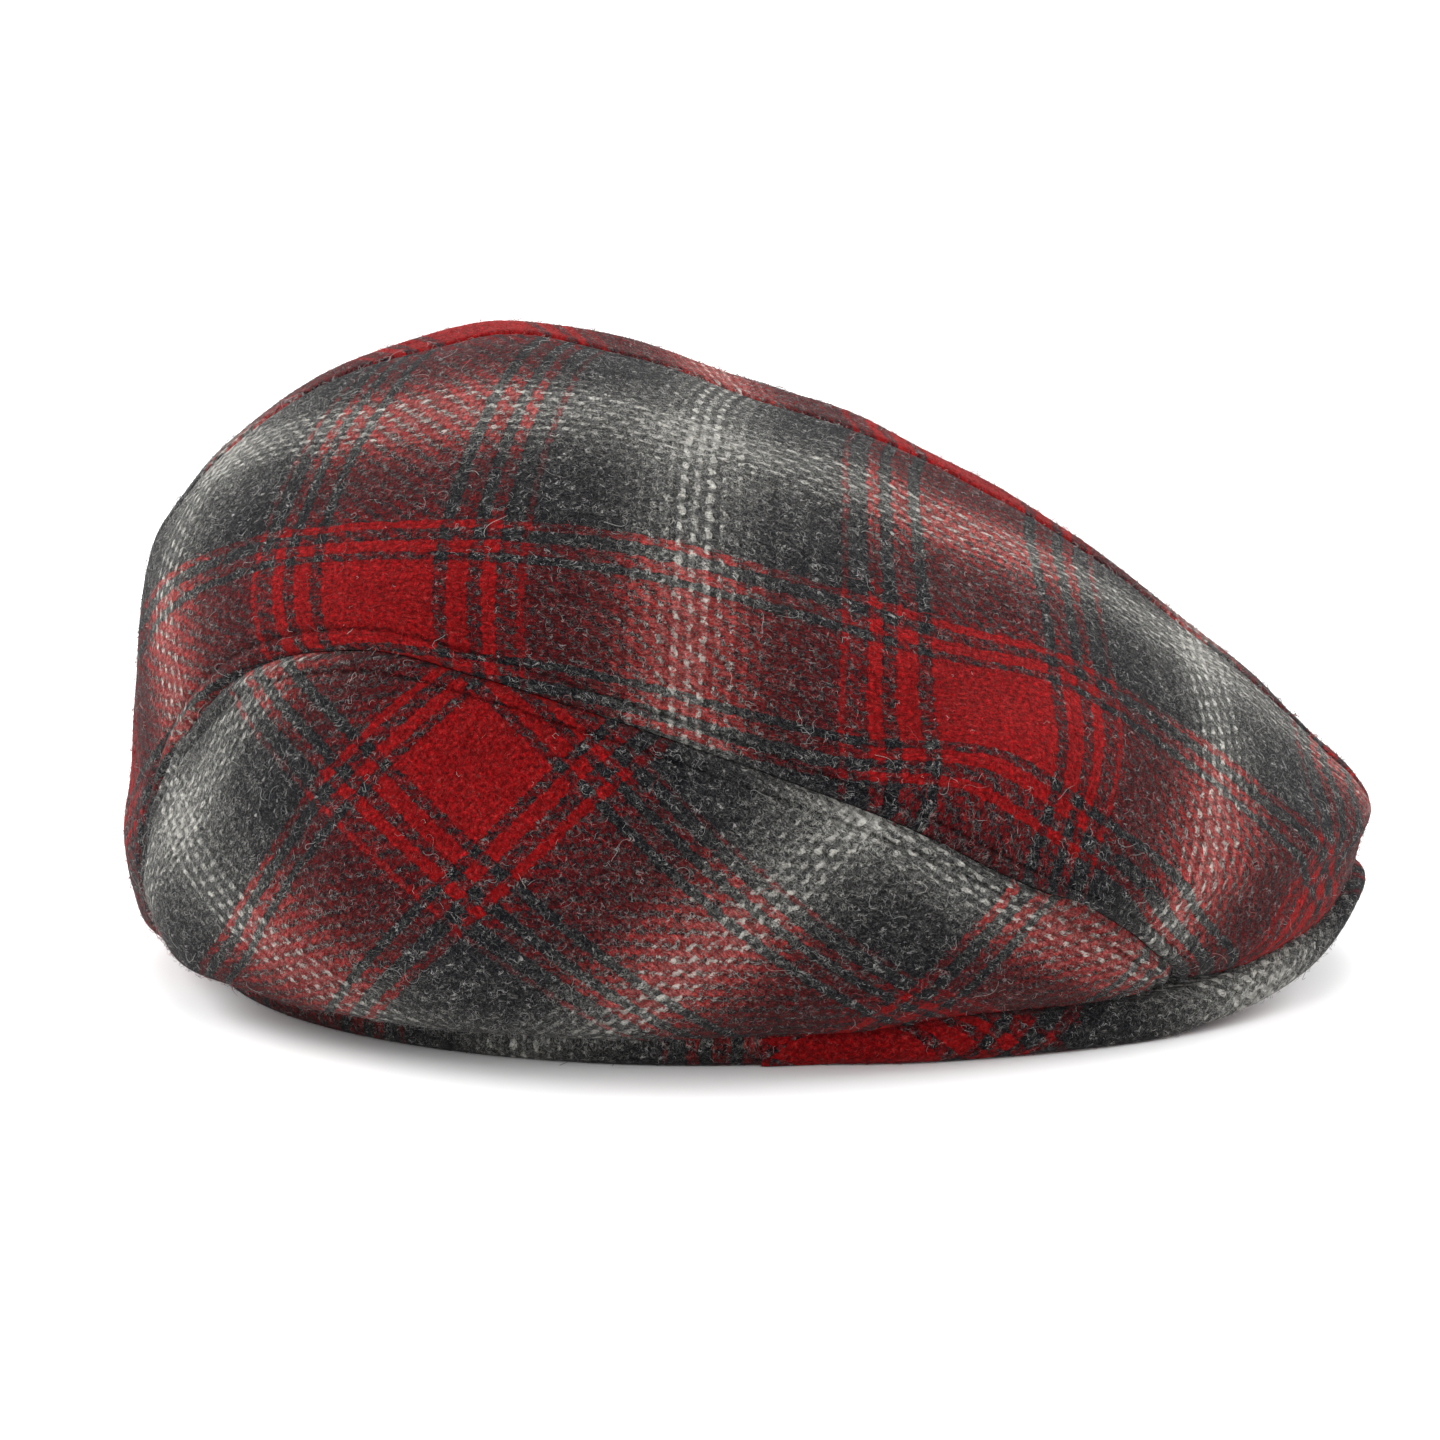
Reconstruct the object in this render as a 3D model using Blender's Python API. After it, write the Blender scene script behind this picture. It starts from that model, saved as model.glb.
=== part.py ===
"""Soft flat cap: two top panels, two half-moon side panels, a band and an arched peak.

Metres, +Z up. The cap stands on z = 0. The peak points to +X, the centre seam lies in the plane y = 0,
and the origin is at the middle of the footprint. The right half is at -Y.
"""
import math

import bmesh
import bpy
import numpy as np

# Overall sizes of the crown
FRONT_REACH = 0.1334
BACK_REACH = 0.1334
HALF_WIDTH = 0.0978
CROWN_HEIGHT = 0.1377
CLOTH = 0.0025
CLEARANCE = 0.0003

# Head opening and band
HEAD_HALF_LENGTH = 0.1010
HEAD_HALF_WIDTH = 0.0820
HEAD_CENTRE = -0.01025
BAND_THICKNESS = 0.0030
BAND_HEIGHT = 0.0130
BAND_RISE = 0.0200
BAND_RISE_HEADING = math.radians(85.0)

# Peak
PEAK_REACH = 0.1315
PEAK_HALF_WIDTH = 0.0865
PEAK_CENTRE = -0.0050
PEAK_THICKNESS = 0.0040
PEAK_END = math.radians(70.0)
PEAK_TIP_RISE = 0.0172
PEAK_SET_BACK = 0.0015
PEAK_EDGE_BULGE = 0.0006
PEAK_FOOT = 0.0025
PEAK_SEAT = 0.0033
PEAK_SHOULDER = 0.85
PEAK_NARROW = 0.3
PEAK_STEPS = (0.33, 0.67, 1.0)

# Seams
SEAM_DIP = 0.0012
SEAM_DIP_WIDTH = 0.0035
SEAM_VALLEY = 0.0015
SEAM_VALLEY_WIDTH = 0.0140
SEAM_FRONT_HEADING = math.radians(27.5)
SEAM_BACK_HEADING = math.radians(165.4)
TUCK_HEIGHT = 0.0090

# Point inside the crown that every point of its skin can be seen from, as shares of reach and height
HEART_BACK = 0.210
HEART_UP = 0.330

# Fineness of the rays that find the skin, and of the curves read along the seams
HALVINGS = 40
RAY_STEP = 0.004
SEAM_SAMPLES = 400
TUCK_SAMPLES = 91

# Grids of the panels
SEAM_ROWS = 40
TOP_COLUMNS = (0.0, 0.05, 0.14, 0.27, 0.41, 0.55, 0.69, 0.81, 0.90, 0.96, 1.0)
SIDE_COLUMNS = (0.0, 0.2, 0.42, 0.63, 0.8, 0.92, 1.0)
ROW_CROWDING = 0.75
BAND_SEGMENTS = 64
PEAK_COLUMNS = 41

# Horizontal slices through the crown, bottom to top. Columns: height as a share of CROWN_HEIGHT, back
# reach of BACK_REACH, front reach of FRONT_REACH, half width of HALF_WIDTH, distance of the widest place
# behind the origin as a share of BACK_REACH, and the roundness of the outline behind and before it.
SLICES = (
    (0.040, 0.859, 0.982, 0.872, 0.079, 2.00, 2.15),
    (0.046, 0.907, 0.984, 0.892, 0.105, 2.00, 2.15),
    (0.058, 0.952, 0.984, 0.915, 0.135, 2.05, 2.15),
    (0.080, 0.975, 0.985, 0.937, 0.157, 2.10, 2.15),
    (0.117, 0.988, 0.987, 0.959, 0.180, 2.10, 2.15),
    (0.161, 0.997, 0.984, 0.978, 0.195, 2.10, 2.15),
    (0.208, 1.000, 0.987, 0.992, 0.210, 2.10, 2.15),
    (0.248, 0.997, 1.000, 0.998, 0.214, 2.10, 2.15),
    (0.292, 0.990, 0.975, 1.000, 0.217, 2.10, 2.10),
    (0.336, 0.984, 0.927, 1.000, 0.221, 2.05, 2.05),
    (0.387, 0.980, 0.876, 0.996, 0.225, 2.05, 2.00),
    (0.467, 0.976, 0.787, 0.982, 0.236, 2.00, 1.95),
    (0.562, 0.969, 0.667, 0.947, 0.255, 2.00, 1.85),
    (0.657, 0.949, 0.541, 0.888, 0.281, 2.00, 1.85),
    (0.752, 0.889, 0.372, 0.792, 0.315, 2.00, 1.85),
    (0.833, 0.805, 0.210, 0.670, 0.345, 2.00, 1.90),
    (0.898, 0.712, 0.011, 0.532, 0.367, 2.00, 2.00),
    (0.950, 0.596, -0.139, 0.378, 0.379, 2.00, 2.00),
    (0.984, 0.472, -0.277, 0.204, 0.382, 2.00, 2.00),
    (1.000, 0.386, -0.386, 0.000, 0.386, 2.00, 2.00),
)

# Side seam from the front to the back. Columns: heading in degrees, counted from straight ahead, and
# height as a share of CROWN_HEIGHT. Both ends lie on the crown's lower edge.
SIDE_SEAM = (
    (30.5, 0.125),
    (34.2, 0.182),
    (39.0, 0.235),
    (44.5, 0.287),
    (54.8, 0.378),
    (64.0, 0.435),
    (78.8, 0.509),
    (94.3, 0.571),
    (108.4, 0.614),
    (121.9, 0.637),
    (132.3, 0.620),
    (142.7, 0.568),
    (151.8, 0.484),
    (159.4, 0.383),
    (163.6, 0.300),
    (165.0, 0.190),
)

# Height of the crown's lower edge. Columns: heading in degrees and a share of CROWN_HEIGHT.
LOWER_EDGE = (
    (0.0, 0.156),
    (5.0, 0.148),
    (8.0, 0.134),
    (11.5, 0.117),
    (18.0, 0.095),
    (25.0, 0.079),
    (33.0, 0.069),
    (40.0, 0.069),
    (47.0, 0.068),
    (59.0, 0.054),
    (73.0, 0.044),
    (85.0, 0.0402),
    (180.0, 0.0402),
)

# Lower edge of the peak. Columns: distance from the middle as a share of PEAK_HALF_WIDTH, and height
# as a share of PEAK_TIP_RISE.
PEAK_ARCH = (
    (0.00, 1.000),
    (0.10, 0.985),
    (0.19, 0.920),
    (0.26, 0.780),
    (0.34, 0.600),
    (0.42, 0.430),
    (0.52, 0.270),
    (0.60, 0.160),
    (0.67, 0.080),
    (0.76, 0.000),
    (1.00, 0.000),
)

MATERIALS = {
    "top_panel_right": ((0.36, 0.045, 0.055), 0.92),
    "top_panel_left": ((0.36, 0.045, 0.055), 0.92),
    "side_panel_right": ((0.24, 0.035, 0.045), 0.92),
    "side_panel_left": ((0.24, 0.035, 0.045), 0.92),
    "band": ((0.16, 0.13, 0.13), 0.94),
    "peak": ((0.20, 0.17, 0.17), 0.94),
}


def column(table, index):
    return np.array([row[index] for row in table], dtype=float)


def smooth_through(where, places, values):
    """Monotone cubic curve through a table's values, with no overshoot between its rows."""
    steps = np.diff(places)
    slopes = np.diff(values) / steps
    tangents = np.zeros(len(places))
    tangents[0] = slopes[0]
    tangents[-1] = slopes[-1]
    for i in range(1, len(places) - 1):
        if slopes[i - 1] * slopes[i] > 0.0:
            before = 2.0 * steps[i] + steps[i - 1]
            after = steps[i] + 2.0 * steps[i - 1]
            tangents[i] = (before + after) / (before / slopes[i - 1] + after / slopes[i])
    cell = np.clip(np.searchsorted(places, where) - 1, 0, len(places) - 2)
    step = steps[cell]
    u = (where - places[cell]) / step
    return (values[cell] * (1.0 + 2.0 * u) * (1.0 - u) ** 2
            + tangents[cell] * step * u * (1.0 - u) ** 2
            + values[cell + 1] * u * u * (3.0 - 2.0 * u)
            + tangents[cell + 1] * step * u * u * (u - 1.0))


def slice_at(height):
    """Back reach, front reach, half width, widest place and the two roundnesses at a height."""
    lowest = SLICES[0][0]
    share = np.clip(height / CROWN_HEIGHT, lowest, 1.0)
    depth = np.sqrt(1.0 - share)
    depths = np.sqrt(1.0 - column(SLICES, 0))[::-1]
    scales = (BACK_REACH, FRONT_REACH, HALF_WIDTH, -BACK_REACH, 1.0, 1.0)
    return [smooth_through(depth, depths, column(SLICES, i + 1)[::-1] * scale)
            for i, scale in enumerate(scales)]


def is_inside(points):
    back, front, width, centre, round_back, round_front = slice_at(points[..., 2])
    along = points[..., 0] - centre
    ahead = along > 0.0
    reach = np.maximum(np.where(ahead, front - centre, back + centre), 1e-9)
    power = np.where(ahead, round_front, round_back)
    width = np.maximum(width, 1e-9)
    fill = (np.abs(along) / reach) ** power + (np.abs(points[..., 1]) / width) ** power
    return (fill < 1.0) & (points[..., 2] < CROWN_HEIGHT)


def cast(start, directions):
    """Where rays from a point inside the crown meet its slices."""
    near = np.zeros(directions.shape[:-1])
    far = np.full(directions.shape[:-1], FRONT_REACH + BACK_REACH)
    for _ in range(HALVINGS):
        middle = 0.5 * (near + far)
        inside = is_inside(start + directions * middle[..., None])
        near = np.where(inside, middle, near)
        far = np.where(inside, far, middle)
    return start + directions * near[..., None]


HEART = np.array([-HEART_BACK * BACK_REACH, 0.0, HEART_UP * CROWN_HEIGHT])


def heading_of(points):
    return np.arctan2(np.abs(points[..., 1]), points[..., 0] - HEART[0])


def flat_ray(heading):
    return np.stack([np.cos(heading), -np.sin(heading), np.zeros_like(heading)], axis=-1)


def outline_point(heading, height):
    """Point of the slices' outline on the right side, at a heading and a height."""
    start = np.zeros(np.shape(heading) + (3,))
    start[..., 0] = HEART[0]
    start[..., 2] = height
    return cast(start, flat_ray(heading))


def ellipse_radius(heading, centre, half_length, half_width):
    """Distance from the heart's axis to an ellipse, along a heading."""
    c, s = np.cos(heading), np.sin(heading)
    offset = HEART[0] - centre
    a = (c / half_length) ** 2 + (s / half_width) ** 2
    b = 2.0 * offset * c / half_length ** 2
    d = (offset / half_length) ** 2 - 1.0
    return (-b + np.sqrt(b * b - 4.0 * a * d)) / (2.0 * a)


def band_radius(heading, outward):
    return ellipse_radius(heading, HEAD_CENTRE, HEAD_HALF_LENGTH + outward, HEAD_HALF_WIDTH + outward)


def rim_radius(heading):
    return ellipse_radius(heading, PEAK_CENTRE, PEAK_REACH - PEAK_CENTRE, PEAK_HALF_WIDTH)


def edge_height(heading):
    headings = np.radians(column(LOWER_EDGE, 0))
    return smooth_through(heading, headings, column(LOWER_EDGE, 1) * CROWN_HEIGHT)


def edge_radius(heading):
    """The crown's lower edge lies on the peak in front, and closes round the band behind."""
    on_band = band_radius(heading, BAND_THICKNESS + CLEARANCE)
    on_peak = rim_radius(heading) - PEAK_SET_BACK
    return np.where(heading < PEAK_END, np.maximum(on_band, on_peak), on_band)


def tuck_table():
    headings = np.radians(np.linspace(0.0, 180.0, TUCK_SAMPLES))
    points = outline_point(headings, edge_height(headings))
    radii = np.hypot(points[:, 0] - HEART[0], points[:, 1])
    return headings, edge_radius(headings) - radii


TUCK_HEADINGS, TUCK_SHIFTS = tuck_table()


def skin(directions):
    """Outer surface of the crown along rays from the heart, with its lower edge tucked in."""
    unit = directions / np.linalg.norm(directions, axis=-1, keepdims=True)
    points = cast(HEART, unit)
    heading = heading_of(points)
    above = (points[..., 2] - edge_height(heading)) / TUCK_HEIGHT
    weight = (1.0 - np.clip(above, 0.0, 1.0)) ** 2
    shift = weight * np.interp(heading, TUCK_HEADINGS, TUCK_SHIFTS)
    side = np.where(points[..., 1] > 0.0, 1.0, -1.0)
    points[..., 0] += shift * np.cos(heading)
    points[..., 1] += shift * np.sin(heading) * side
    return points


def skin_with_normals(directions):
    """Skin points and their outward normals, from neighbouring rays."""
    unit = directions / np.linalg.norm(directions, axis=-1, keepdims=True)
    helper = np.where(np.abs(unit[..., 2:3]) < 0.9, [0.0, 0.0, 1.0], [1.0, 0.0, 0.0])
    across = np.cross(helper, unit)
    across /= np.linalg.norm(across, axis=-1, keepdims=True)
    along = np.cross(unit, across)
    slope_u = skin(unit + across * RAY_STEP) - skin(unit - across * RAY_STEP)
    slope_v = skin(unit + along * RAY_STEP) - skin(unit - along * RAY_STEP)
    normals = np.cross(slope_u, slope_v)
    normals /= np.linalg.norm(normals, axis=-1, keepdims=True)
    flip = np.sum(normals * unit, axis=-1, keepdims=True) < 0.0
    return skin(unit), np.where(flip, -normals, normals)


def even_steps(points, shares):
    """Points at even shares of a polyline's length."""
    lengths = np.concatenate([[0.0], np.cumsum(np.linalg.norm(np.diff(points, axis=0), axis=1))])
    lengths /= lengths[-1]
    return np.stack([np.interp(shares, lengths, points[:, i]) for i in range(3)], axis=-1)


def side_seam(shares):
    """Side seam on the right side, from the front of the lower edge to the back of it."""
    headings = np.concatenate([[SEAM_FRONT_HEADING], np.radians(column(SIDE_SEAM, 0)), [SEAM_BACK_HEADING]])
    ends = edge_height(headings[[0, -1]])
    heights = np.concatenate([[ends[0]], column(SIDE_SEAM, 1) * CROWN_HEIGHT, [ends[1]]])
    run = np.hypot(np.diff(headings) * HALF_WIDTH, np.diff(heights))
    places = np.concatenate([[0.0], np.cumsum(run)])
    fine = np.linspace(0.0, places[-1], SEAM_SAMPLES)
    heading = smooth_through(fine, places, headings)
    height = smooth_through(fine, places, heights)
    return even_steps(outline_point(heading, height), shares)


def centre_seam(shares):
    """Centre seam from the front of the lower edge over the top to the back of it."""
    ends = outline_point(np.array([0.0, math.pi]), edge_height(np.array([0.0, math.pi])))
    first, last = [math.atan2(p[2] - HEART[2], p[0] - HEART[0]) for p in ends]
    angles = np.linspace(first, last + 2.0 * math.pi, SEAM_SAMPLES)
    rays = np.stack([np.cos(angles), np.zeros_like(angles), np.sin(angles)], axis=-1)
    return even_steps(cast(HEART, rays), shares)


def lower_edge(headings):
    return outline_point(headings, edge_height(headings))


def seam_dips(distance):
    return (SEAM_DIP * np.exp(-(distance / SEAM_DIP_WIDTH) ** 2)
            + SEAM_VALLEY * np.exp(-(distance / SEAM_VALLEY_WIDTH) ** 2))


def step_apart(grid, step):
    """Moves the last line of a grid square to itself, back into the grid, to leave a gap at a seam."""
    tangent = np.gradient(grid[:, -1], axis=0)
    tangent /= np.linalg.norm(tangent, axis=-1, keepdims=True)
    away = grid[:, -2] - grid[:, -1]
    away -= tangent * np.sum(away * tangent, axis=-1, keepdims=True)
    grid[:, -1] += step * away / np.linalg.norm(away, axis=-1, keepdims=True)


def keep_off_band(points):
    """Keeps cloth clear of the outer face of the band."""
    heading = heading_of(points)
    along = points[..., 0] - HEART[0]
    radius = np.hypot(along, points[..., 1])
    least = band_radius(heading, BAND_THICKNESS + CLEARANCE)
    grow = np.where((radius < least) & (points[..., 2] < HEART[2]), least / radius, 1.0)
    points[..., 0] = HEART[0] + along * grow
    points[..., 1] *= grow


def seam_rows():
    """Shares of the side seam's length where both panels have a row, closer together at its ends."""
    even = np.linspace(0.0, 1.0, SEAM_ROWS)
    return even - ROW_CROWDING * np.sin(2.0 * math.pi * even) / (2.0 * math.pi)


def top_panel_grids():
    """Outer and inner grids of the right top panel, rows front to back, columns centre to side."""
    rows = seam_rows()
    columns = np.array(TOP_COLUMNS)
    centre = centre_seam(rows)
    side = side_seam(rows)
    front = lower_edge(SEAM_FRONT_HEADING * columns)
    back = lower_edge(math.pi + (SEAM_BACK_HEADING - math.pi) * columns)
    s, t = rows[:, None, None], columns[None, :, None]
    grid = (1.0 - t) * centre[:, None] + t * side[:, None]
    grid = grid + (1.0 - s) * (front[None] - (1.0 - t) * front[0] - t * front[-1])
    grid = grid + s * (back[None] - (1.0 - t) * back[0] - t * back[-1])
    outer, normals = skin_with_normals(grid - HEART)
    to_side = np.linalg.norm(outer - outer[:, -1:], axis=-1)
    to_centre = np.linalg.norm(outer - outer[:, :1], axis=-1)
    dip = seam_dips(to_side) + SEAM_DIP * np.exp(-(to_centre / SEAM_DIP_WIDTH) ** 2)
    normals[:, 0, 1] = 0.0
    outer = outer - normals * dip[..., None]
    inner = outer - normals * CLOTH
    for sheet in (outer, inner):
        step_apart(sheet, 0.5 * CLEARANCE)
        sheet[:, 0, 1] = -0.5 * CLEARANCE
        keep_off_band(sheet)
    return outer, inner


def side_panel_grids():
    """Outer and inner grids of the right side panel, rows front to back, columns bottom to seam."""
    rows = seam_rows()[1:-1]
    columns = np.array(SIDE_COLUMNS)[None, :, None]
    seam = side_seam(rows)
    bottom = lower_edge(SEAM_FRONT_HEADING + (SEAM_BACK_HEADING - SEAM_FRONT_HEADING) * rows)
    grid = (1.0 - columns) * bottom[:, None] + columns * seam[:, None]
    outer, normals = skin_with_normals(grid - HEART)
    to_seam = np.linalg.norm(outer - outer[:, -1:], axis=-1)
    outer = outer - normals * seam_dips(to_seam)[..., None]
    inner = outer - normals * CLOTH
    for sheet in (outer, inner):
        step_apart(sheet, 0.5 * CLEARANCE)
        keep_off_band(sheet)
    return outer, inner


def clear_scene():
    for thing in list(bpy.data.objects):
        bpy.data.objects.remove(thing, do_unlink=True)


def wool(name):
    colour, roughness = MATERIALS[name]
    material = bpy.data.materials.new(name)
    material.use_nodes = True
    shader = material.node_tree.nodes["Principled BSDF"]
    shader.inputs["Base Color"].default_value = (*colour, 1.0)
    shader.inputs["Roughness"].default_value = roughness
    shader.inputs["Metallic"].default_value = 0.0
    shader.inputs["Sheen Weight"].default_value = 0.3
    return material


def add_object(name, bm):
    bmesh.ops.recalc_face_normals(bm, faces=bm.faces)
    mesh = bpy.data.meshes.new(name)
    bm.to_mesh(mesh)
    bm.free()
    mesh.shade_smooth()
    mesh.set_sharp_from_angle(angle=math.radians(50.0))
    mesh.materials.append(wool(name))
    thing = bpy.data.objects.new(name, mesh)
    bpy.context.collection.objects.link(thing)
    return thing


def sheet_solid(name, outer, inner, side):
    """Closed solid between two grids. side is -1 on the right, and +1 mirrors it to the left."""
    mirror = np.array([1.0, -side, 1.0])
    rows, columns = outer.shape[:2]
    bm = bmesh.new()
    sheets = []
    for sheet in (outer, inner):
        sheets.append([[bm.verts.new(point * mirror) for point in row] for row in sheet])
    for r in range(rows - 1):
        for c in range(columns - 1):
            for grid in sheets:
                bm.faces.new((grid[r][c], grid[r][c + 1], grid[r + 1][c + 1], grid[r + 1][c]))
    border = [(r, 0) for r in range(rows)]
    border += [(rows - 1, c) for c in range(1, columns)]
    border += [(r, columns - 1) for r in range(rows - 2, -1, -1)]
    border += [(0, c) for c in range(columns - 2, 0, -1)]
    for (r0, c0), (r1, c1) in zip(border, border[1:] + border[:1]):
        bm.faces.new((sheets[0][r0][c0], sheets[0][r1][c1], sheets[1][r1][c1], sheets[1][r0][c0]))
    return add_object(name, bm)


def ring_solid(name, sections, closed):
    """Closed solid lofted through sections of equal point counts."""
    bm = bmesh.new()
    loops = [[bm.verts.new(point) for point in section] for section in sections]
    pairs = list(zip(loops, loops[1:]))
    if closed:
        pairs.append((loops[-1], loops[0]))
    else:
        bm.faces.new(loops[0])
        bm.faces.new(loops[-1])
    for a, b in pairs:
        for i in range(len(a)):
            j = (i + 1) % len(a)
            bm.faces.new((a[i], a[j], b[j], b[i]))
    return add_object(name, bm)


def opening_rise(heading):
    """Height of the head opening's edge, lifted in front by the peak's arch."""
    share = np.clip(heading / BAND_RISE_HEADING, 0.0, 1.0)
    return BAND_RISE * 0.5 * (1.0 + np.cos(math.pi * share))


def at(heading, radius, height, side):
    """Point at a heading, a distance from the heart's axis and a height, on one side."""
    return (HEART[0] + radius * math.cos(heading), side * radius * math.sin(heading), height)


def build_band():
    sections = []
    for i in range(BAND_SEGMENTS):
        turn = 2.0 * math.pi * i / BAND_SEGMENTS
        heading = turn if turn <= math.pi else 2.0 * math.pi - turn
        side = -1.0 if turn <= math.pi else 1.0
        bottom = float(opening_rise(heading))
        inside = float(band_radius(heading, 0.0))
        outside = float(band_radius(heading, BAND_THICKNESS))
        sections.append([
            at(heading, inside, bottom, side),
            at(heading, outside, bottom, side),
            at(heading, outside, bottom + BAND_HEIGHT, side),
            at(heading, inside, bottom + BAND_HEIGHT, side),
        ])
    return ring_solid("band", sections, closed=True)


def peak_section(turn):
    """Section of the peak at a heading: rim, seat of the crown's edge, upper side, lower side."""
    side = -1.0 if turn <= 0.0 else 1.0
    heading = abs(turn)
    rim = float(rim_radius(heading))
    root = float(band_radius(heading, BAND_THICKNESS + CLEARANCE))
    across = rim * math.sin(heading) / PEAK_HALF_WIDTH
    foot = float(smooth_through(np.array(across), column(PEAK_ARCH, 0), column(PEAK_ARCH, 1)))
    foot *= PEAK_TIP_RISE
    seat = float(edge_height(np.array(heading))) - CLEARANCE
    seat_out = rim - PEAK_SET_BACK
    seat_in = max(seat_out - PEAK_SEAT, root + PEAK_NARROW * (seat_out - root))
    root_low = max(float(opening_rise(heading)), foot)
    root_high = max(root_low + PEAK_THICKNESS, seat)
    foot_in = max(rim - PEAK_FOOT, root + PEAK_NARROW * (rim - root))
    section = [
        at(heading, rim, foot, side),
        at(heading, rim + PEAK_EDGE_BULGE, 0.5 * (foot + seat), side),
        at(heading, rim, foot + PEAK_SHOULDER * (seat - foot), side),
        at(heading, seat_out, seat, side),
        at(heading, seat_in, seat, side),
    ]
    for share in PEAK_STEPS:
        arch = math.sin(0.5 * math.pi * share)
        radius = seat_in + share * (root - seat_in)
        section.append(at(heading, radius, seat + arch * (root_high - seat), side))
    for share in PEAK_STEPS[::-1] + (0.0,):
        arch = math.sin(0.5 * math.pi * share)
        radius = foot_in + share * (root - foot_in)
        section.append(at(heading, radius, foot + arch * (root_low - foot), side))
    return section


def build_peak():
    turns = [PEAK_END * (2.0 * i / (PEAK_COLUMNS - 1) - 1.0) for i in range(PEAK_COLUMNS)]
    return ring_solid("peak", [peak_section(turn) for turn in turns], closed=False)


def build_cap():
    clear_scene()
    top = top_panel_grids()
    flank = side_panel_grids()
    for side, word in ((-1.0, "right"), (1.0, "left")):
        sheet_solid("top_panel_" + word, *top, side)
        sheet_solid("side_panel_" + word, *flank, side)
    build_band()
    build_peak()


build_cap()
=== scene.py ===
"""Dresses the flat cap: brushed plaid wool on fine panels, rolled seams, topstitching and raised fibres.

Metres, +Z up, peak to +X, right half at -Y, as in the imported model. Lengths named here are at real size and
are multiplied by SCALE, so the dress follows the frame if its size changes.
"""
import math

import bpy
import numpy as np
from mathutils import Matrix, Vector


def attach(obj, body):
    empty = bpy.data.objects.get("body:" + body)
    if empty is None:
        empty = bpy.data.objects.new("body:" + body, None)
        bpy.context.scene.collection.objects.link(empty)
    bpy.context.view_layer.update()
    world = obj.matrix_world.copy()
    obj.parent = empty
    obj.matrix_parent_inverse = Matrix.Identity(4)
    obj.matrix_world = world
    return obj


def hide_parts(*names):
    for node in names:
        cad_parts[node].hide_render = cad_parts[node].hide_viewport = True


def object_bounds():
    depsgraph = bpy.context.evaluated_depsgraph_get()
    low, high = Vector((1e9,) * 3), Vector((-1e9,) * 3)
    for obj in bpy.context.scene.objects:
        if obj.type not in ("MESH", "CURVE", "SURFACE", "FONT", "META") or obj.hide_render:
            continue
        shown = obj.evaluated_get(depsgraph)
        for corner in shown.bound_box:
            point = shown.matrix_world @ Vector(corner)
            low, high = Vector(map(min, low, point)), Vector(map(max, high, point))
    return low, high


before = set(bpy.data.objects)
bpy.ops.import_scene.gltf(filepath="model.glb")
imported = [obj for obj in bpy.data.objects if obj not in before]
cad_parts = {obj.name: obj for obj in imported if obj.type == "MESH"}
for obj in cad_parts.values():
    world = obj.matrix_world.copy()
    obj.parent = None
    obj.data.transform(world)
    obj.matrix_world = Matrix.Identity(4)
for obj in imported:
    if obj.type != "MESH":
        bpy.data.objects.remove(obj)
CAD_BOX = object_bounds()

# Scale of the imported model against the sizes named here
LOW, HIGH = (np.array(corner) for corner in CAD_BOX)
LENGTH = 0.26594
SCALE = (HIGH[0] - LOW[0]) / LENGTH

# Crown, band and peak
FRONT_REACH = 0.1334 * SCALE
BACK_REACH = 0.1334 * SCALE
HALF_WIDTH = 0.0978 * SCALE
CROWN_HEIGHT = 0.1377 * SCALE
CLOTH = 0.0025 * SCALE
SEAM_GAP = 0.0001 * SCALE
SEAM_TOUCH = 0.00001 * SCALE
HEAD_HALF_LENGTH = 0.1010 * SCALE
HEAD_HALF_WIDTH = 0.0820 * SCALE
HEAD_CENTRE = -0.01025 * SCALE
BAND_THICKNESS = 0.0030 * SCALE
BAND_HEIGHT = 0.0130 * SCALE
BAND_RISE = 0.0200 * SCALE
BAND_RISE_HEADING = math.radians(85.0)
CLEARANCE = 0.0003 * SCALE
FIBRE_ROOT_DEPTH = 0.0001 * SCALE
PEAK_REACH = 0.1315 * SCALE
PEAK_HALF_WIDTH = 0.0865 * SCALE
PEAK_CENTRE = -0.0050 * SCALE
PEAK_THICKNESS = 0.0040 * SCALE
PEAK_END = math.radians(70.0)
PEAK_TIP_RISE = 0.0172 * SCALE
PEAK_SET_BACK = 0.0015 * SCALE
PEAK_EDGE_BULGE = 0.0009 * SCALE
PEAK_FOOT = 0.0025 * SCALE
PEAK_SEAT = 0.0033 * SCALE
PEAK_NARROW = 0.3
PEAK_FADE_FROM = math.radians(52.0)
PEAK_FADE = 0.95
PEAK_ROUNDING = 0.0007 * SCALE

# Seams: the valley across a seam, the roll of the cloth into it and the stitched groove beside it
SEAM_FRONT_HEADING = math.radians(27.5)
SEAM_BACK_HEADING = math.radians(165.4)
TUCK_HEIGHT = 0.0090 * SCALE
VALLEY_DEPTH = 0.0015 * SCALE
VALLEY_WIDTH = 0.0140 * SCALE
ROLL_DEPTH = 0.0016 * SCALE
ROLL_WIDTH = 0.0013 * SCALE
GROOVE_DEPTH = 0.0007 * SCALE
GROOVE_WIDTH = 0.0011 * SCALE
GROOVE_SET_BACK = 0.0046 * SCALE

# Swelling of the cloth: wavelength and depth
BROAD_SWELL = (0.062 * SCALE, 0.00035 * SCALE)
NARROW_SWELL = (0.021 * SCALE, 0.00022 * SCALE)

# Point inside the crown that every point of its skin can be seen from, as shares of reach and height
HEART = np.array([-0.210 * BACK_REACH, 0.0, 0.330 * CROWN_HEIGHT])
HALVINGS = 40
RAY_STEP = 0.004
SEAM_SAMPLES = 400
TUCK_SAMPLES = 91

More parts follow.
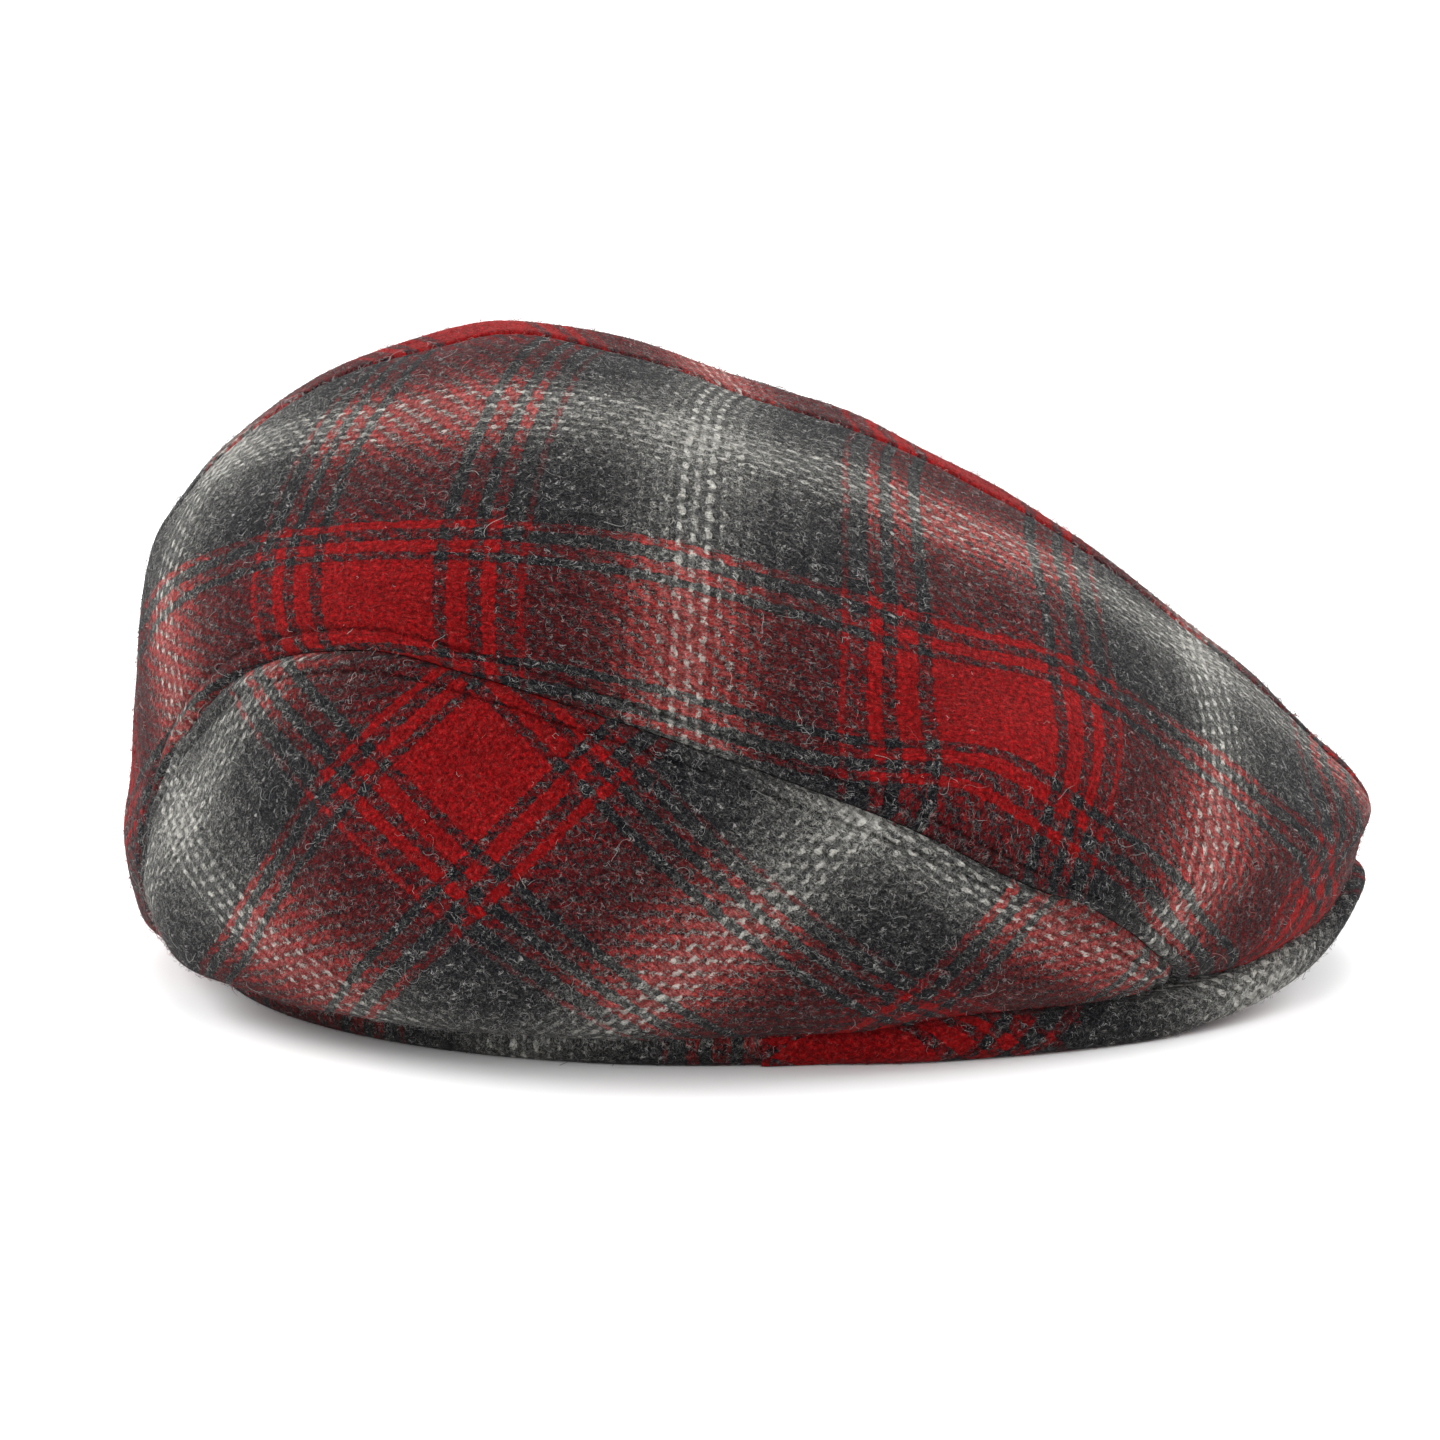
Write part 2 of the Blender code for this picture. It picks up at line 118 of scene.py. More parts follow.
# Plaid. Cloth coordinates are millimetres from the middle of a red band, which comes back every period.
MM = 0.001 * SCALE
PERIOD = 114.0
WARP_PITCH = PERIOD / 88
WEFT_PITCH = PERIOD / 102

# Fineness of the pieces
TOP_ROWS = 170
TOP_COLUMNS = 96
SIDE_ROWS = 150
SIDE_COLUMNS = 60
BAND_SEGMENTS = 300
BAND_AROUND = 28
BAND_OUTER_FACE = np.arange(-9, 5)
PEAK_SEGMENTS = 150
PEAK_OUTER_FACE = np.arange(12)
PEAK_CREASE = math.radians(55.0)
CROWDING = 0.82

# Horizontal slices through the crown, bottom to top. Columns: height as a share of CROWN_HEIGHT, back
# reach of BACK_REACH, front reach of FRONT_REACH, half width of HALF_WIDTH, distance of the widest place
# behind the origin as a share of BACK_REACH, and the roundness of the outline behind and before it.
SLICES = (
    (0.040, 0.859, 0.982, 0.872, 0.079, 2.00, 2.15),
    (0.046, 0.907, 0.984, 0.892, 0.105, 2.00, 2.15),
    (0.058, 0.952, 0.984, 0.915, 0.135, 2.05, 2.15),
    (0.080, 0.975, 0.985, 0.937, 0.157, 2.10, 2.15),
    (0.117, 0.988, 0.987, 0.959, 0.180, 2.10, 2.15),
    (0.161, 0.997, 0.984, 0.978, 0.195, 2.10, 2.15),
    (0.208, 1.000, 0.987, 0.992, 0.210, 2.10, 2.15),
    (0.248, 0.997, 1.000, 0.998, 0.214, 2.10, 2.15),
    (0.292, 0.990, 0.975, 1.000, 0.217, 2.10, 2.10),
    (0.336, 0.984, 0.927, 1.000, 0.221, 2.05, 2.05),
    (0.387, 0.980, 0.876, 0.996, 0.225, 2.05, 2.00),
    (0.467, 0.976, 0.787, 0.982, 0.236, 2.00, 1.95),
    (0.562, 0.969, 0.667, 0.947, 0.255, 2.00, 1.85),
    (0.657, 0.949, 0.541, 0.888, 0.281, 2.00, 1.85),
    (0.752, 0.889, 0.372, 0.792, 0.315, 2.00, 1.85),
    (0.833, 0.805, 0.210, 0.670, 0.345, 2.00, 1.90),
    (0.898, 0.712, 0.011, 0.532, 0.367, 2.00, 2.00),
    (0.950, 0.596, -0.139, 0.378, 0.379, 2.00, 2.00),
    (0.984, 0.472, -0.277, 0.204, 0.382, 2.00, 2.00),
    (1.000, 0.386, -0.386, 0.000, 0.386, 2.00, 2.00),
)

# Side seam from the front to the back. Columns: heading in degrees, counted from straight ahead, and
# height as a share of CROWN_HEIGHT. Both ends lie on the crown's lower edge.
SIDE_SEAM = (
    (30.5, 0.125),
    (34.2, 0.182),
    (39.0, 0.235),
    (44.5, 0.287),
    (54.8, 0.378),
    (64.0, 0.435),
    (78.8, 0.509),
    (94.3, 0.571),
    (108.4, 0.614),
    (121.9, 0.637),
    (132.3, 0.620),
    (142.7, 0.568),
    (151.8, 0.484),
    (159.4, 0.383),
    (163.6, 0.300),
    (165.0, 0.190),
)

# Height of the crown's lower edge. Columns: heading in degrees and a share of CROWN_HEIGHT.
LOWER_EDGE = (
    (0.0, 0.156),
    (5.0, 0.148),
    (8.0, 0.134),
    (11.5, 0.117),
    (18.0, 0.095),
    (25.0, 0.079),
    (33.0, 0.069),
    (40.0, 0.069),
    (47.0, 0.068),
    (59.0, 0.054),
    (73.0, 0.044),
    (85.0, 0.0402),
    (180.0, 0.0402),
)

# Lower edge of the peak. Columns: distance from the middle as a share of PEAK_HALF_WIDTH, and height
# as a share of PEAK_TIP_RISE.
PEAK_ARCH = (
    (0.00, 1.000),
    (0.10, 0.985),
    (0.19, 0.920),
    (0.26, 0.780),
    (0.34, 0.600),
    (0.42, 0.430),
    (0.52, 0.270),
    (0.60, 0.160),
    (0.67, 0.080),
    (0.76, 0.000),
    (1.00, 0.000),
)

# Lie of the cloth on the right top panel: share of the panel's length from the front, then the cloth's
# place along and across at four shares of its width, from the centre seam to the side seam.
TOP_LIE_COLUMNS = (0.0, 0.33, 0.67, 1.0)
TOP_LIE = (
    (0.00, 187.5, 44.6, 177.4, 69.3, 160.1, 94.9, 137.6, 116.8),
    (0.06, 164.4, 34.3, 159.0, 62.0, 141.2, 90.5, 112.7, 118.3),
    (0.14, 128.2, 26.7, 126.1, 60.3, 107.6, 95.4, 77.0, 124.4),
    (0.23, 87.3, 17.6, 87.9, 56.4, 68.0, 98.1, 45.5, 121.0),
    (0.32, 48.7, 8.9, 53.3, 45.8, 39.9, 85.4, 19.8, 116.9),
    (0.45, -8.7, 3.7, -1.8, 40.1, -8.1, 79.2, -18.3, 114.3),
    (0.58, -72.5, 4.7, -64.5, 33.1, -57.4, 70.6, -57.8, 106.4),
    (0.67, -112.4, 21.4, -102.1, 46.6, -90.9, 77.1, -87.1, 104.2),
    (0.74, -134.7, 42.5, -123.7, 62.9, -112.9, 85.4, -105.7, 107.0),
    (0.82, -147.5, 74.7, -144.0, 85.2, -136.7, 97.5, -130.5, 112.0),
    (0.90, -170.6, 100.7, -164.6, 109.5, -158.2, 117.8, -153.0, 127.0),
    (1.00, -186.7, 143.0, -183.5, 145.3, -183.3, 145.8, -182.2, 145.5),
)
TOP_LIE_RED = (-59.5, 92.0)
TOP_LIE_PERIOD = (119.0, 108.0)
CENTRE_SEAM_LIE = 3.7
CENTRE_SEAM_LOSS = 8.0

# Lie of the cloth on the right side panel, which is cut on the bias, at three shares of its height
SIDE_LIE_COLUMNS = (0.0, 0.5, 1.0)
SIDE_LIE = (
    (0.00, 52.5, 143.7, 58.8, 144.0, 62.3, 143.4),
    (0.12, 27.5, 113.6, 48.8, 109.2, 65.9, 103.4),
    (0.28, -4.8, 85.7, 27.6, 70.0, 56.1, 53.0),
    (0.46, -34.4, 61.9, -3.1, 33.1, 25.0, 5.0),
    (0.64, -59.6, 38.3, -32.0, -7.7, -7.6, -50.8),
    (0.80, -79.9, 11.1, -64.2, -38.8, -52.0, -78.4),
    (0.92, -95.3, -12.8, -90.5, -43.9, -87.6, -66.1),
    (1.00, -106.3, -27.4, -106.4, -34.3, -104.2, -40.3),
)

# Places of a red crossing along the band and round the peak's rim, in millimetres, from the middle of the
# front on the right side and from the peak's right end
BAND_RED_ALONG = 130.0
BAND_RED_ACROSS = 14.0
PEAK_RED_ALONG = 20.0
PEAK_LIE_STRETCH = 0.86
FAR_FROM_SEAM = 60.0


def column(table, index):
    return np.array([row[index] for row in table], dtype=float)


def smooth_through(where, places, values):
    """Monotone cubic curve through a table's values, with no overshoot between its rows."""
    steps = np.diff(places)
    slopes = np.diff(values) / steps
    tangents = np.zeros(len(places))
    tangents[0] = slopes[0]
    tangents[-1] = slopes[-1]
    for i in range(1, len(places) - 1):
        if slopes[i - 1] * slopes[i] > 0.0:
            before = 2.0 * steps[i] + steps[i - 1]
            after = steps[i] + 2.0 * steps[i - 1]
            tangents[i] = (before + after) / (before / slopes[i - 1] + after / slopes[i])
    cell = np.clip(np.searchsorted(places, where) - 1, 0, len(places) - 2)
    step = steps[cell]
    u = (where - places[cell]) / step
    return (values[cell] * (1.0 + 2.0 * u) * (1.0 - u) ** 2
            + tangents[cell] * step * u * (1.0 - u) ** 2
            + values[cell + 1] * u * u * (3.0 - 2.0 * u)
            + tangents[cell + 1] * step * u * u * (u - 1.0))


def unit(vectors):
    return vectors / np.linalg.norm(vectors, axis=-1, keepdims=True)


def slice_at(height):
    """Back reach, front reach, half width, widest place and the two roundnesses at a height."""
    share = np.clip(height / CROWN_HEIGHT, SLICES[0][0], 1.0)
    depth = np.sqrt(1.0 - share)
    depths = np.sqrt(1.0 - column(SLICES, 0))[::-1]
    scales = (BACK_REACH, FRONT_REACH, HALF_WIDTH, -BACK_REACH, 1.0, 1.0)
    return [smooth_through(depth, depths, column(SLICES, i + 1)[::-1] * scale)
            for i, scale in enumerate(scales)]


def is_inside(points):
    back, front, width, centre, round_back, round_front = slice_at(points[..., 2])
    along = points[..., 0] - centre
    ahead = along > 0.0
    reach = np.maximum(np.where(ahead, front - centre, back + centre), 1e-9)
    power = np.where(ahead, round_front, round_back)
    width = np.maximum(width, 1e-9)
    fill = (np.abs(along) / reach) ** power + (np.abs(points[..., 1]) / width) ** power
    return (fill < 1.0) & (points[..., 2] < CROWN_HEIGHT)


def cast(start, directions):
    """Where rays from a point inside the crown meet its slices."""
    near = np.zeros(directions.shape[:-1])
    far = np.full(directions.shape[:-1], FRONT_REACH + BACK_REACH)
    for _ in range(HALVINGS):
        middle = 0.5 * (near + far)
        inside = is_inside(start + directions * middle[..., None])
        near = np.where(inside, middle, near)
        far = np.where(inside, far, middle)
    return start + directions * near[..., None]


def heading_of(points):
    return np.arctan2(np.abs(points[..., 1]), points[..., 0] - HEART[0])


def outline_point(heading, height):
    """Point of the slices' outline on the right side, at a heading and a height."""
    start = np.zeros(np.shape(heading) + (3,))
    start[..., 0] = HEART[0]
    start[..., 2] = height
    flat = np.stack([np.cos(heading), -np.sin(heading), np.zeros_like(heading)], axis=-1)
    return cast(start, flat)


def ellipse_radius(heading, centre, half_length, half_width):
    """Distance from the heart's axis to an ellipse, along a heading."""
    c, s = np.cos(heading), np.sin(heading)
    offset = HEART[0] - centre
    a = (c / half_length) ** 2 + (s / half_width) ** 2
    b = 2.0 * offset * c / half_length ** 2
    d = (offset / half_length) ** 2 - 1.0
    return (-b + np.sqrt(b * b - 4.0 * a * d)) / (2.0 * a)


def band_radius(heading, outward):
    return ellipse_radius(heading, HEAD_CENTRE, HEAD_HALF_LENGTH + outward, HEAD_HALF_WIDTH + outward)


def rim_radius(heading):
    return ellipse_radius(heading, PEAK_CENTRE, PEAK_REACH - PEAK_CENTRE, PEAK_HALF_WIDTH)


def edge_height(heading):
    headings = np.radians(column(LOWER_EDGE, 0))
    return smooth_through(heading, headings, column(LOWER_EDGE, 1) * CROWN_HEIGHT)


def edge_radius(heading):
    """The crown's lower edge lies on the peak in front, and closes round the band behind."""
    on_band = band_radius(heading, BAND_THICKNESS + CLEARANCE)
    on_peak = rim_radius(heading) - PEAK_SET_BACK
    return np.where(heading < PEAK_END, np.maximum(on_band, on_peak), on_band)


def lower_edge(headings):
    return outline_point(headings, edge_height(headings))


def tuck_table():
    headings = np.radians(np.linspace(0.0, 180.0, TUCK_SAMPLES))
    points = lower_edge(headings)
    radii = np.hypot(points[:, 0] - HEART[0], points[:, 1])
    return headings, edge_radius(headings) - radii


TUCK_HEADINGS, TUCK_SHIFTS = tuck_table()


def skin(directions):
    """Outer surface of the crown along rays from the heart, with its lower edge tucked in."""
    points = cast(HEART, unit(directions))
    heading = heading_of(points)
    above = (points[..., 2] - edge_height(heading)) / TUCK_HEIGHT
    weight = (1.0 - np.clip(above, 0.0, 1.0)) ** 2
    shift = weight * np.interp(heading, TUCK_HEADINGS, TUCK_SHIFTS)
    side = np.where(points[..., 1] > 0.0, 1.0, -1.0)
    points[..., 0] += shift * np.cos(heading)
    points[..., 1] += shift * np.sin(heading) * side
    return points


def skin_with_normals(directions):
    """Skin points and their outward normals, from neighbouring rays."""
    rays = unit(directions)
    helper = np.where(np.abs(rays[..., 2:3]) < 0.9, [0.0, 0.0, 1.0], [1.0, 0.0, 0.0])
    across = unit(np.cross(helper, rays))
    along = np.cross(rays, across)
    slope_u = skin(rays + across * RAY_STEP) - skin(rays - across * RAY_STEP)
    slope_v = skin(rays + along * RAY_STEP) - skin(rays - along * RAY_STEP)
    normals = unit(np.cross(slope_u, slope_v))
    flip = np.sum(normals * rays, axis=-1, keepdims=True) < 0.0
    return skin(rays), np.where(flip, -normals, normals)


def even_steps(points, shares):
    """Points at even shares of a polyline's length."""
    lengths = np.concatenate([[0.0], np.cumsum(np.linalg.norm(np.diff(points, axis=0), axis=1))])
    lengths /= lengths[-1]
    return np.stack([np.interp(shares, lengths, points[:, i]) for i in range(3)], axis=-1)


def side_seam(shares):
    """Side seam on the right side, from the front of the lower edge to the back of it."""
    headings = np.concatenate([[SEAM_FRONT_HEADING], np.radians(column(SIDE_SEAM, 0)), [SEAM_BACK_HEADING]])
    ends = edge_height(headings[[0, -1]])
    heights = np.concatenate([[ends[0]], column(SIDE_SEAM, 1) * CROWN_HEIGHT, [ends[1]]])
    run = np.hypot(np.diff(headings) * HALF_WIDTH, np.diff(heights))
    places = np.concatenate([[0.0], np.cumsum(run)])
    fine = np.linspace(0.0, places[-1], SEAM_SAMPLES)
    heading = smooth_through(fine, places, headings)
    height = smooth_through(fine, places, heights)
    return even_steps(outline_point(heading, height), shares)


def centre_seam(shares):
    """Centre seam from the front of the lower edge over the top to the back of it."""
    ends = outline_point(np.array([0.0, math.pi]), edge_height(np.array([0.0, math.pi])))
    first, last = [math.atan2(p[2] - HEART[2], p[0] - HEART[0]) for p in ends]
    angles = np.linspace(first, last + 2.0 * math.pi, SEAM_SAMPLES)
    rays = np.stack([np.cos(angles), np.zeros_like(angles), np.sin(angles)], axis=-1)
    return even_steps(cast(HEART, rays), shares)


def keep_off_band(points):
    """Keeps cloth clear of the outer face of the band."""
    heading = heading_of(points)
    along = points[..., 0] - HEART[0]
    radius = np.hypot(along, points[..., 1])
    least = band_radius(heading, BAND_THICKNESS + CLEARANCE)
    grow = np.where((radius < least) & (points[..., 2] < HEART[2]), least / radius, 1.0)
    points[..., 0] = HEART[0] + along * grow
    points[..., 1] *= grow


def step_apart(grid, step):
    """Moves the last line of a grid square to itself, back into the grid, to leave a gap at a seam."""
    tangent = unit(np.gradient(grid[:, -1], axis=0))
    away = grid[:, -2] - grid[:, -1]
    away -= tangent * np.sum(away * tangent, axis=-1, keepdims=True)
    grid[:, -1] += step * unit(away)


def crowded(count, crowding):
    """Shares from 0 to 1 that lie closer together at both ends."""
    even = np.linspace(0.0, 1.0, count)
    return even - crowding * np.sin(2.0 * math.pi * even) / (2.0 * math.pi)


def soft_waves(points, wavelength, depth, seed):
    """Smooth, irregular swelling of the cloth, from a few plane waves at one wavelength."""
    random = np.random.default_rng(seed)
    total = np.zeros(points.shape[:-1])
    for _ in range(9):
        direction = random.normal(size=3)
        direction *= random.uniform(0.7, 1.3) * 2.0 * math.pi / (wavelength * np.linalg.norm(direction))
        total += np.sin(points @ direction + random.uniform(0.0, 2.0 * math.pi))
    return depth * total / 3.0


def lie_of_cloth(table, places, rows, columns):
    """Cloth coordinates at the crossings of a panel's rows and columns."""
    count = len(places)
    at_rows = np.stack([smooth_through(rows, column(table, 0), column(table, i + 1))
                        for i in range(2 * count)], axis=-1).reshape(len(rows), count, 2)
    weights = np.ones((len(columns), count))
    for i in range(count):
        for j in range(count):
            if i != j:
                weights[:, i] *= (columns - places[j]) / (places[i] - places[j])
    return np.einsum("ck,rkd->rcd", weights, at_rows)


def arc_lengths(grid, axis):
    steps = np.linalg.norm(np.diff(grid, axis=axis), axis=-1)
    lengths = np.cumsum(steps, axis=axis)
    return np.concatenate([np.zeros_like(np.take(lengths, [0], axis=axis)), lengths], axis=axis)


def settle(outer, normals, dip, seed):
    """Lays the cloth: seams drawn in by dip, and soft swelling over the whole panel."""
    swell = soft_waves(outer, *BROAD_SWELL, seed) + soft_waves(outer, *NARROW_SWELL, seed + 1)
    return outer + normals * (swell - dip)[..., None]


def seam_shape(distance):
    return (VALLEY_DEPTH * np.exp(-(distance / VALLEY_WIDTH) ** 2)
            + ROLL_DEPTH * np.exp(-(distance / ROLL_WIDTH) ** 2)
            + GROOVE_DEPTH * np.exp(-((distance - GROOVE_SET_BACK) / GROOVE_WIDTH) ** 2))


def top_panel_sheets():
    """Outer and inner grids of the right top panel, its cloth coordinates and its distance from the seam."""
    rows = crowded(TOP_ROWS, 0.6)
    columns = crowded(TOP_COLUMNS, CROWDING)
    centre = centre_seam(rows)
    side = side_seam(rows)
    front = lower_edge(SEAM_FRONT_HEADING * columns)
    back = lower_edge(math.pi + (SEAM_BACK_HEADING - math.pi) * columns)
    s, t = rows[:, None, None], columns[None, :, None]
    grid = (1.0 - t) * centre[:, None] + t * side[:, None]
    for end, weight in ((front, 1.0 - s), (back, s)):
        grid = grid + weight * (end[None] - (1.0 - t) * end[0] - t * end[-1])
    outer, normals = skin_with_normals(grid - HEART)
    to_side = np.linalg.norm(outer - outer[:, -1:], axis=-1)
    to_centre = np.linalg.norm(outer - outer[:, :1], axis=-1)
    dip = seam_shape(to_side) + ROLL_DEPTH * np.exp(-(to_centre / ROLL_WIDTH) ** 2)
    normals[:, 0, 1] = 0.0
    outer = settle(outer, normals, dip, 3)
    inner = outer - normals * CLOTH
    for sheet, gap in ((outer, SEAM_GAP), (inner, SEAM_TOUCH)):
        step_apart(sheet, gap)
        sheet[:, 0, 1] = -gap
        keep_off_band(sheet)
    lie = lie_of_cloth(TOP_LIE, TOP_LIE_COLUMNS, rows, columns)
    seam = np.stack([arc_lengths(outer, 0), to_side], axis=-1)
    return outer, inner, lie, seam


def side_panel_sheets():
    """Outer and inner grids of the right side panel, rows front to back, columns bottom to seam."""
    rows = crowded(SIDE_ROWS, 0.6)[1:-1]
    columns = crowded(2 * SIDE_COLUMNS, CROWDING)
    columns = 0.3 * np.linspace(0.0, 1.0, SIDE_COLUMNS) + 0.7 * (columns[-SIDE_COLUMNS:] - 0.5) * 2.0
    columns[0] = 0.0
    seam = side_seam(rows)
    bottom = lower_edge(SEAM_FRONT_HEADING + (SEAM_BACK_HEADING - SEAM_FRONT_HEADING) * rows)
    t = columns[None, :, None]
    grid = (1.0 - t) * bottom[:, None] + t * seam[:, None]
    outer, normals = skin_with_normals(grid - HEART)
    to_seam = np.linalg.norm(outer - outer[:, -1:], axis=-1)
    outer = settle(outer, normals, seam_shape(to_seam), 8)
    inner = outer - normals * CLOTH
    for sheet, gap in ((outer, SEAM_GAP), (inner, SEAM_TOUCH)):
        step_apart(sheet, gap)
        keep_off_band(sheet)
    lie = lie_of_cloth(SIDE_LIE, SIDE_LIE_COLUMNS, rows, columns)
    along = arc_lengths(outer, 0)
    return outer, inner, lie, np.stack([along, to_seam], axis=-1)


def top_lie_in_periods(lie, side):
    """Brings the top panels' cloth coordinates to the common period, with the red band's middle at zero."""
    across = lie[..., 1] if side < 0.0 else -lie[..., 1] + CENTRE_SEAM_LIE * 2.0 - CENTRE_SEAM_LOSS
    u = (lie[..., 0] - TOP_LIE_RED[0]) * PERIOD / TOP_LIE_PERIOD[0]
    v = (across - TOP_LIE_RED[1]) * PERIOD / TOP_LIE_PERIOD[1]
    return np.stack([u, v], axis=-1)


def add_object(name, data):
    thing = bpy.data.objects.new(name, data)
    bpy.context.collection.objects.link(thing)
    return thing


def add_mesh(name, points, faces, maps, material):
    """New object from points and faces, with one UV map for each array of places per corner."""
    mesh = bpy.data.meshes.new(name)
    mesh.from_pydata(points.tolist(), [], faces if isinstance(faces, list) else faces.tolist())
    for map_name, places in maps.items():
        layer = mesh.uv_layers.new(name=map_name)
        layer.uv.foreach_set("vector", np.ascontiguousarray(places, dtype=np.float32).ravel())
    mesh.shade_smooth()
    mesh.materials.append(material)
    mesh.validate()
    return add_object(name, mesh)


def quads(rows, columns):
    """Corner indices of a grid's squares."""
    index = np.arange(rows * columns).reshape(rows, columns)
    return np.stack([index[:-1, :-1], index[:-1, 1:], index[1:, 1:], index[1:, :-1]], axis=-1).reshape(-1, 4)


def sheet_piece(name, outer, inner, lie, seam, side, material):
    """Closed cloth panel between two grids. side is -1 on the right, and +1 mirrors it to the left."""
    mirror = np.array([1.0, -side, 1.0])
    rows, columns = outer.shape[:2]
    count = rows * columns
    points = np.concatenate([(outer * mirror).reshape(-1, 3), (inner * mirror).reshape(-1, 3)])
    face = quads(rows, columns)
    index = np.arange(count).reshape(rows, columns)
    border = np.concatenate([index[:, 0], index[-1, 1:], index[-2::-1, -1], index[0, -2:0:-1]])
    following = np.roll(border, -1)
    rim = np.stack([border, following, following + count, border + count], axis=-1)
    faces = np.concatenate([face, face[:, ::-1] + count, rim[:, ::-1]])
    if side < 0.0:
        faces = faces[:, ::-1]
    corner = faces.reshape(-1)
    flat_lie = np.concatenate([lie.reshape(-1, 2)] * 2)
    flat_seam = np.concatenate([seam.reshape(-1, 2)] * 2)
    maps = {"Cloth": flat_lie[corner], "Seam": flat_seam[corner] / MM}
    return add_mesh(name, points, faces, maps, material)


def opening_rise(heading):
    """Height of the head opening's edge, lifted in front by the peak's arch."""
    share = np.clip(heading / BAND_RISE_HEADING, 0.0, 1.0)
    settled = np.clip((heading - PEAK_FADE_FROM) / (PEAK_END - PEAK_FADE_FROM), 0.0, 1.0)
    settled = settled * settled * (3.0 - 2.0 * settled)
    return BAND_RISE * 0.5 * (1.0 + np.cos(math.pi * share)) * (1.0 - settled)


def at(heading, radius, height, side):
    """Points at a heading, a distance from the heart's axis and a height, on one side."""
    return np.stack(np.broadcast_arrays(HEART[0] + radius * np.cos(heading),
                                        side * radius * np.sin(heading), height), axis=-1)


def rounded_strip(count):
    """Places round a strip's section with round edges: share of its thickness and of its height."""
    turn = 2.0 * math.pi * np.arange(count) / count
    across = np.sign(np.cos(turn)) * np.abs(np.cos(turn)) ** 0.55
    up = np.sign(np.sin(turn)) * np.abs(np.sin(turn)) ** 0.75
    return 0.5 + 0.5 * across, 0.5 + 0.5 * up


def ring_faces(sections, around, closed):
    index = np.arange(sections * around).reshape(sections, around)
    following = np.roll(index, -1, axis=1)
    if closed:
        a, b = index, np.roll(index, -1, axis=0)
        c, d = np.roll(following, -1, axis=0), following
    else:
        a, b, c, d = index[:-1], index[1:], following[1:], following[:-1]
    return np.stack([a, d, c, b], axis=-1).reshape(-1, 4)


def build_band(material):
    """Band round the head opening: a folded strip of cloth with soft edges."""
    turn = 2.0 * math.pi * np.arange(BAND_SEGMENTS) / BAND_SEGMENTS
    heading = np.where(turn <= math.pi, turn, 2.0 * math.pi - turn)
    side = np.where(turn <= math.pi, -1.0, 1.0)
    share_out, share_up = rounded_strip(BAND_AROUND)
    inside = band_radius(heading, 0.0)[:, None]
    outside = band_radius(heading, BAND_THICKNESS)[:, None]
    radius = inside + (outside - inside) * share_out[None]
    height = opening_rise(heading)[:, None] + BAND_HEIGHT * share_up[None]
    points = at(heading[:, None], radius, height, side[:, None])
    along = arc_lengths(np.concatenate([points[:, :1], points[:1, :1]]), 0)[:, 0] / MM
    faces = ring_faces(BAND_SEGMENTS, len(share_up), True)
    section, place = faces // len(share_up), faces % len(share_up)
    next_section = np.where((section == 0) & (section.max(axis=1, keepdims=True) > 1),
                            BAND_SEGMENTS, section)
    around = np.arange(len(share_up) + 1) * 2.0 * (BAND_HEIGHT + BAND_THICKNESS) / len(share_up) / MM
    next_place = np.where((place == 0) & (place.max(axis=1, keepdims=True) > 1), len(share_up), place)
    u = along[next_section] - BAND_RED_ALONG
    v = around[next_place] + BAND_RED_ACROSS
    lie = np.stack([u, v], axis=-1).reshape(-1, 2)
    far = np.full_like(lie, FAR_FROM_SEAM)
    face_lie = np.stack(np.broadcast_arrays((along[:-1] - BAND_RED_ALONG)[:, None],
                                            (around[:-1] + BAND_RED_ACROSS)[None]), axis=-1)
    thing = add_mesh("band_cloth", points.reshape(-1, 3), faces, {"Cloth": lie, "Seam": far}, material)
    return thing, points[:, BAND_OUTER_FACE], face_lie[:, BAND_OUTER_FACE]


def peak_section(turn):
    """Section of the peak at a heading: rim, seat of the crown's edge, upper side, lower side."""
    side = -1.0 if turn <= 0.0 else 1.0
    heading = abs(turn)
    root = float(band_radius(heading, BAND_THICKNESS + CLEARANCE))
    fade = max(0.0, (heading - PEAK_FADE_FROM) / (PEAK_END - PEAK_FADE_FROM))
    fade = fade * fade * (3.0 - 2.0 * fade)
    rim = root + (float(rim_radius(heading)) - root) * (1.0 - PEAK_FADE * fade)
    across = rim * math.sin(heading) / PEAK_HALF_WIDTH
    foot = float(smooth_through(np.array(across), column(PEAK_ARCH, 0), column(PEAK_ARCH, 1)))
    foot *= PEAK_TIP_RISE
    seat = float(edge_height(np.array(heading))) - CLEARANCE
    seat_out = rim - PEAK_SET_BACK
    seat_in = max(seat_out - PEAK_SEAT, root + PEAK_NARROW * (seat_out - root))
    root_low = max(float(opening_rise(heading)), foot)
    root_high = max(root_low + PEAK_THICKNESS, seat)
    foot_in = max(rim - PEAK_FOOT, root + PEAK_NARROW * (rim - root))
    tall = seat - foot
    radii, heights = [], []
    for share in np.linspace(0.0, 1.0, 11):
        bulge = math.sin(math.pi * share) ** 0.6
        radii.append(rim - PEAK_ROUNDING + (1.0 - 0.6 * fade) * (PEAK_EDGE_BULGE + PEAK_ROUNDING) * bulge)
        heights.append(foot + (0.02 + 0.9 * share) * tall)
    radii += [seat_out, seat_in]
    heights += [seat, seat]
    for share in np.linspace(0.1, 1.0, 10):
        radii.append(seat_in + share * (root - seat_in))
        heights.append(seat + math.sin(0.5 * math.pi * share) * (root_high - seat))
    for share in np.linspace(1.0, 0.0, 12):
        radii.append(foot_in + share * (root - foot_in))
        heights.append(foot + math.sin(0.5 * math.pi * share) * (root_low - foot))
    return at(np.array(heading), np.array(radii), np.array(heights), side)


